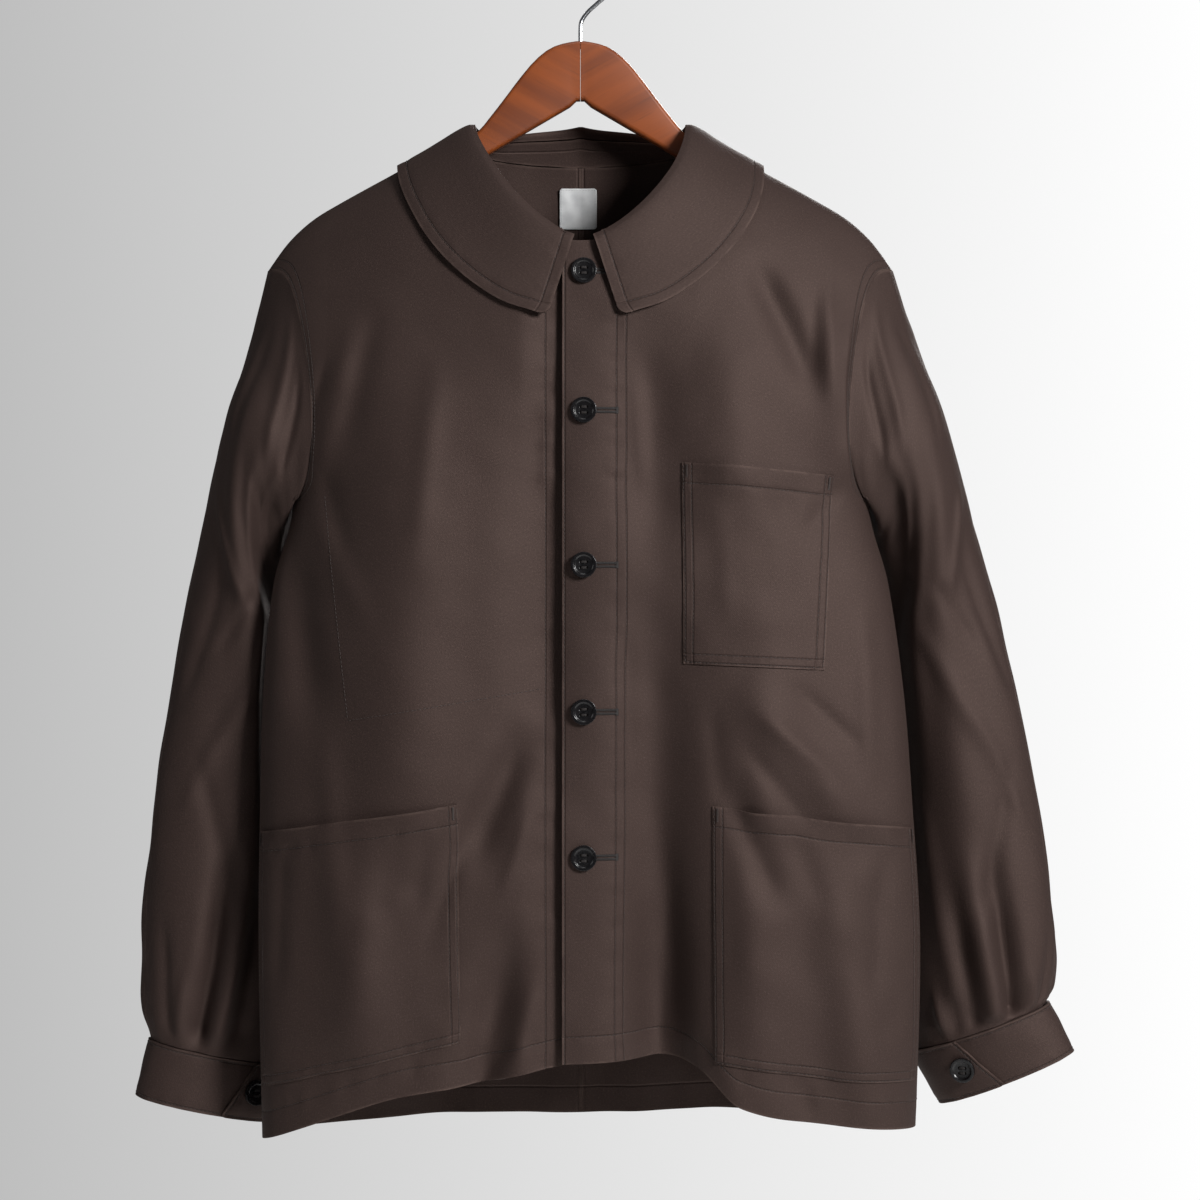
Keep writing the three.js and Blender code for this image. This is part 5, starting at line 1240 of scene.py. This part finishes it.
def timber(name, shift, lean):
    wood = Finish(name)
    here = wood.node("ShaderNodeMapping", None, {"Vector": wood.place("Object"), "Location": shift, "Rotation": (0, lean, 0)})
    figure = wood.noise(wood.stretched(here, (5, 50, 70)), 1, detail=3)
    streaks = wood.noise(wood.stretched(here, (9, 160, 260)), 1, detail=4, roughness=0.6)
    pores = wood.noise(wood.stretched(here, (36, 700, 700)), 1, detail=2).between(0.58, 0.78)
    colour = wood.mixed(figure.between(0.3, 0.7) * 0.55 + streaks * 0.35, linear("8c4415"), linear("5e290b"))
    colour = wood.mixed(pores * 0.35, colour, linear("4a2410"))
    wood.set(Base_Color=colour, Roughness=0.42 + streaks * 0.12, Coat_Weight=0.25, Coat_Roughness=0.2)
    wood.bump(pores * -0.02 + streaks * 0.02)
    return wood.material

hanger["hanger_half_left"].data.materials.append(timber("lacquered_wood_left", (0.3, 0.1, 0.02), 0.5))
hanger["hanger_half_right"].data.materials.append(timber("lacquered_wood_right", (0, 0.02, 0.11), -0.5))

wire = Finish("drawn_wire")
drawn = wire.noise(wire.stretched(wire.place("Object"), (1, 1, 1)), 700, detail=3)
wire.set(Base_Color=wire.mixed(drawn, linear("a9abae"), linear("c6c8cb")), Metallic=1.0, Roughness=0.18 + drawn * 0.16)
wire.bump(drawn * 0.01)
hook.data.materials.append(wire.material)

# %% [markdown]
# ## What each piece stands for
# ## Hanging the pieces on the body
# so its area can be held against the real cut.

# %% Hang the pieces
for name, piece in cloth.items():
    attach(piece.object, "root")
    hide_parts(name)
    "label" if name == "neck_label" else "cloth_inside" if name == "collar_stand" else "cloth"
    sewn_on = [threads[name].object] if name in threads else []
for name, thread in threads.items():
    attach(thread.object, "root")
    "label" if name == "neck_label" else "cloth"
for sewing in (button_thread, holes):
    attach(sewing.object, "root")
for name, piece in {**buttons, **hanger, "hanger_hook": hook}.items():
    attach(piece, "root")
    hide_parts(name)
    "button" if "button" in name else "hook_wire" if name == "hanger_hook" else "hanger_wood"

# %% [markdown]
# ## Floor and light
# A pale floor far below, a white world and large soft lamps give the even light of a bright
# room, strongest from the right. Behind the jacket the camera sees painted light and shade in
# place of the world: grey at the left, white at the right, as the window light falls across a wall.

# %% Floor, lamps and world
deselect()
bpy.ops.mesh.primitive_circle_add(vertices=96, radius=1.65, fill_type="NGON", location=(0, 0, 0))
floor = bpy.context.object
floor.name = "floor"
floor.data.transform(Matrix.Translation((0, 0, -1.32)))
plaster = Finish("pale_floor")
plaster.set(Base_Color=plaster.mixed(plaster.noise(plaster.place("Object"), 3), (0.86, 0.86, 0.85, 1), (0.8, 0.8, 0.79, 1)),
            Roughness=0.7)
floor.data.materials.append(plaster.material)

def lamp(name, place, aim, size, power, tint=(1, 1, 1)):
    bpy.ops.object.light_add(type="AREA", location=place)
    light = bpy.context.object
    light.name = name
    light.data.shape, light.data.size = "DISK", size
    light.data.energy, light.data.color = power, tint
    light.rotation_euler = (Vector(aim) - Vector(place)).to_track_quat("-Z", "Y").to_euler()

lamp("window", (1.6, -1.9, 0.45), (0, 0, -0.5), 0.8, 94)
lamp("room", (-2.3, -0.6, 0.3), (0, 0, -0.5), 1.2, 5)
lamp("ceiling", (0.1, -0.5, 1.9), (0, 0, -0.4), 1.2, 8)
lamp("behind", (0.9, 2.4, 0.9), (0, 0, -0.5), 1.2, 55)
world = bpy.data.worlds.new("white_room")
bpy.context.scene.world = world
world.use_nodes = True
nodes, links = world.node_tree.nodes, world.node_tree.links
# room lights the scene; wall is only what the camera sees: painted light and shade, grey at the left and white at the
# right, standing for the window light across a wall
room, wall = nodes["Background"], nodes.new("ShaderNodeBackground")
room.inputs["Color"].default_value, room.inputs["Strength"].default_value = (0.96, 0.97, 1, 1), 0.08
wall.inputs["Color"].default_value = (1, 1, 1, 1)
direction, across = nodes.new("ShaderNodeTexCoord"), nodes.new("ShaderNodeSeparateXYZ")
shade, seen, either = nodes.new("ShaderNodeMapRange"), nodes.new("ShaderNodeLightPath"), nodes.new("ShaderNodeMixShader")
# The painted wall gradient: strength 0.4 (painted shade) at the left rising to 1.02 (painted light) at the right
for name, value in (("From Min", -0.3), ("From Max", 0.22), ("To Min", 0.4), ("To Max", 1.02)):
    shade.inputs[name].default_value = value
for start, end in ((direction.outputs["Generated"], across.inputs[0]), (across.outputs["X"], shade.inputs["Value"]),
                   (shade.outputs[0], wall.inputs["Strength"]), (seen.outputs["Is Camera Ray"], either.inputs[0]),
                   (room.outputs[0], either.inputs[1]), (wall.outputs[0], either.inputs[2]),
                   (either.outputs[0], nodes["World Output"].inputs["Surface"])):
    links.new(start, end)
bpy.context.scene.view_settings.view_transform = "Standard"
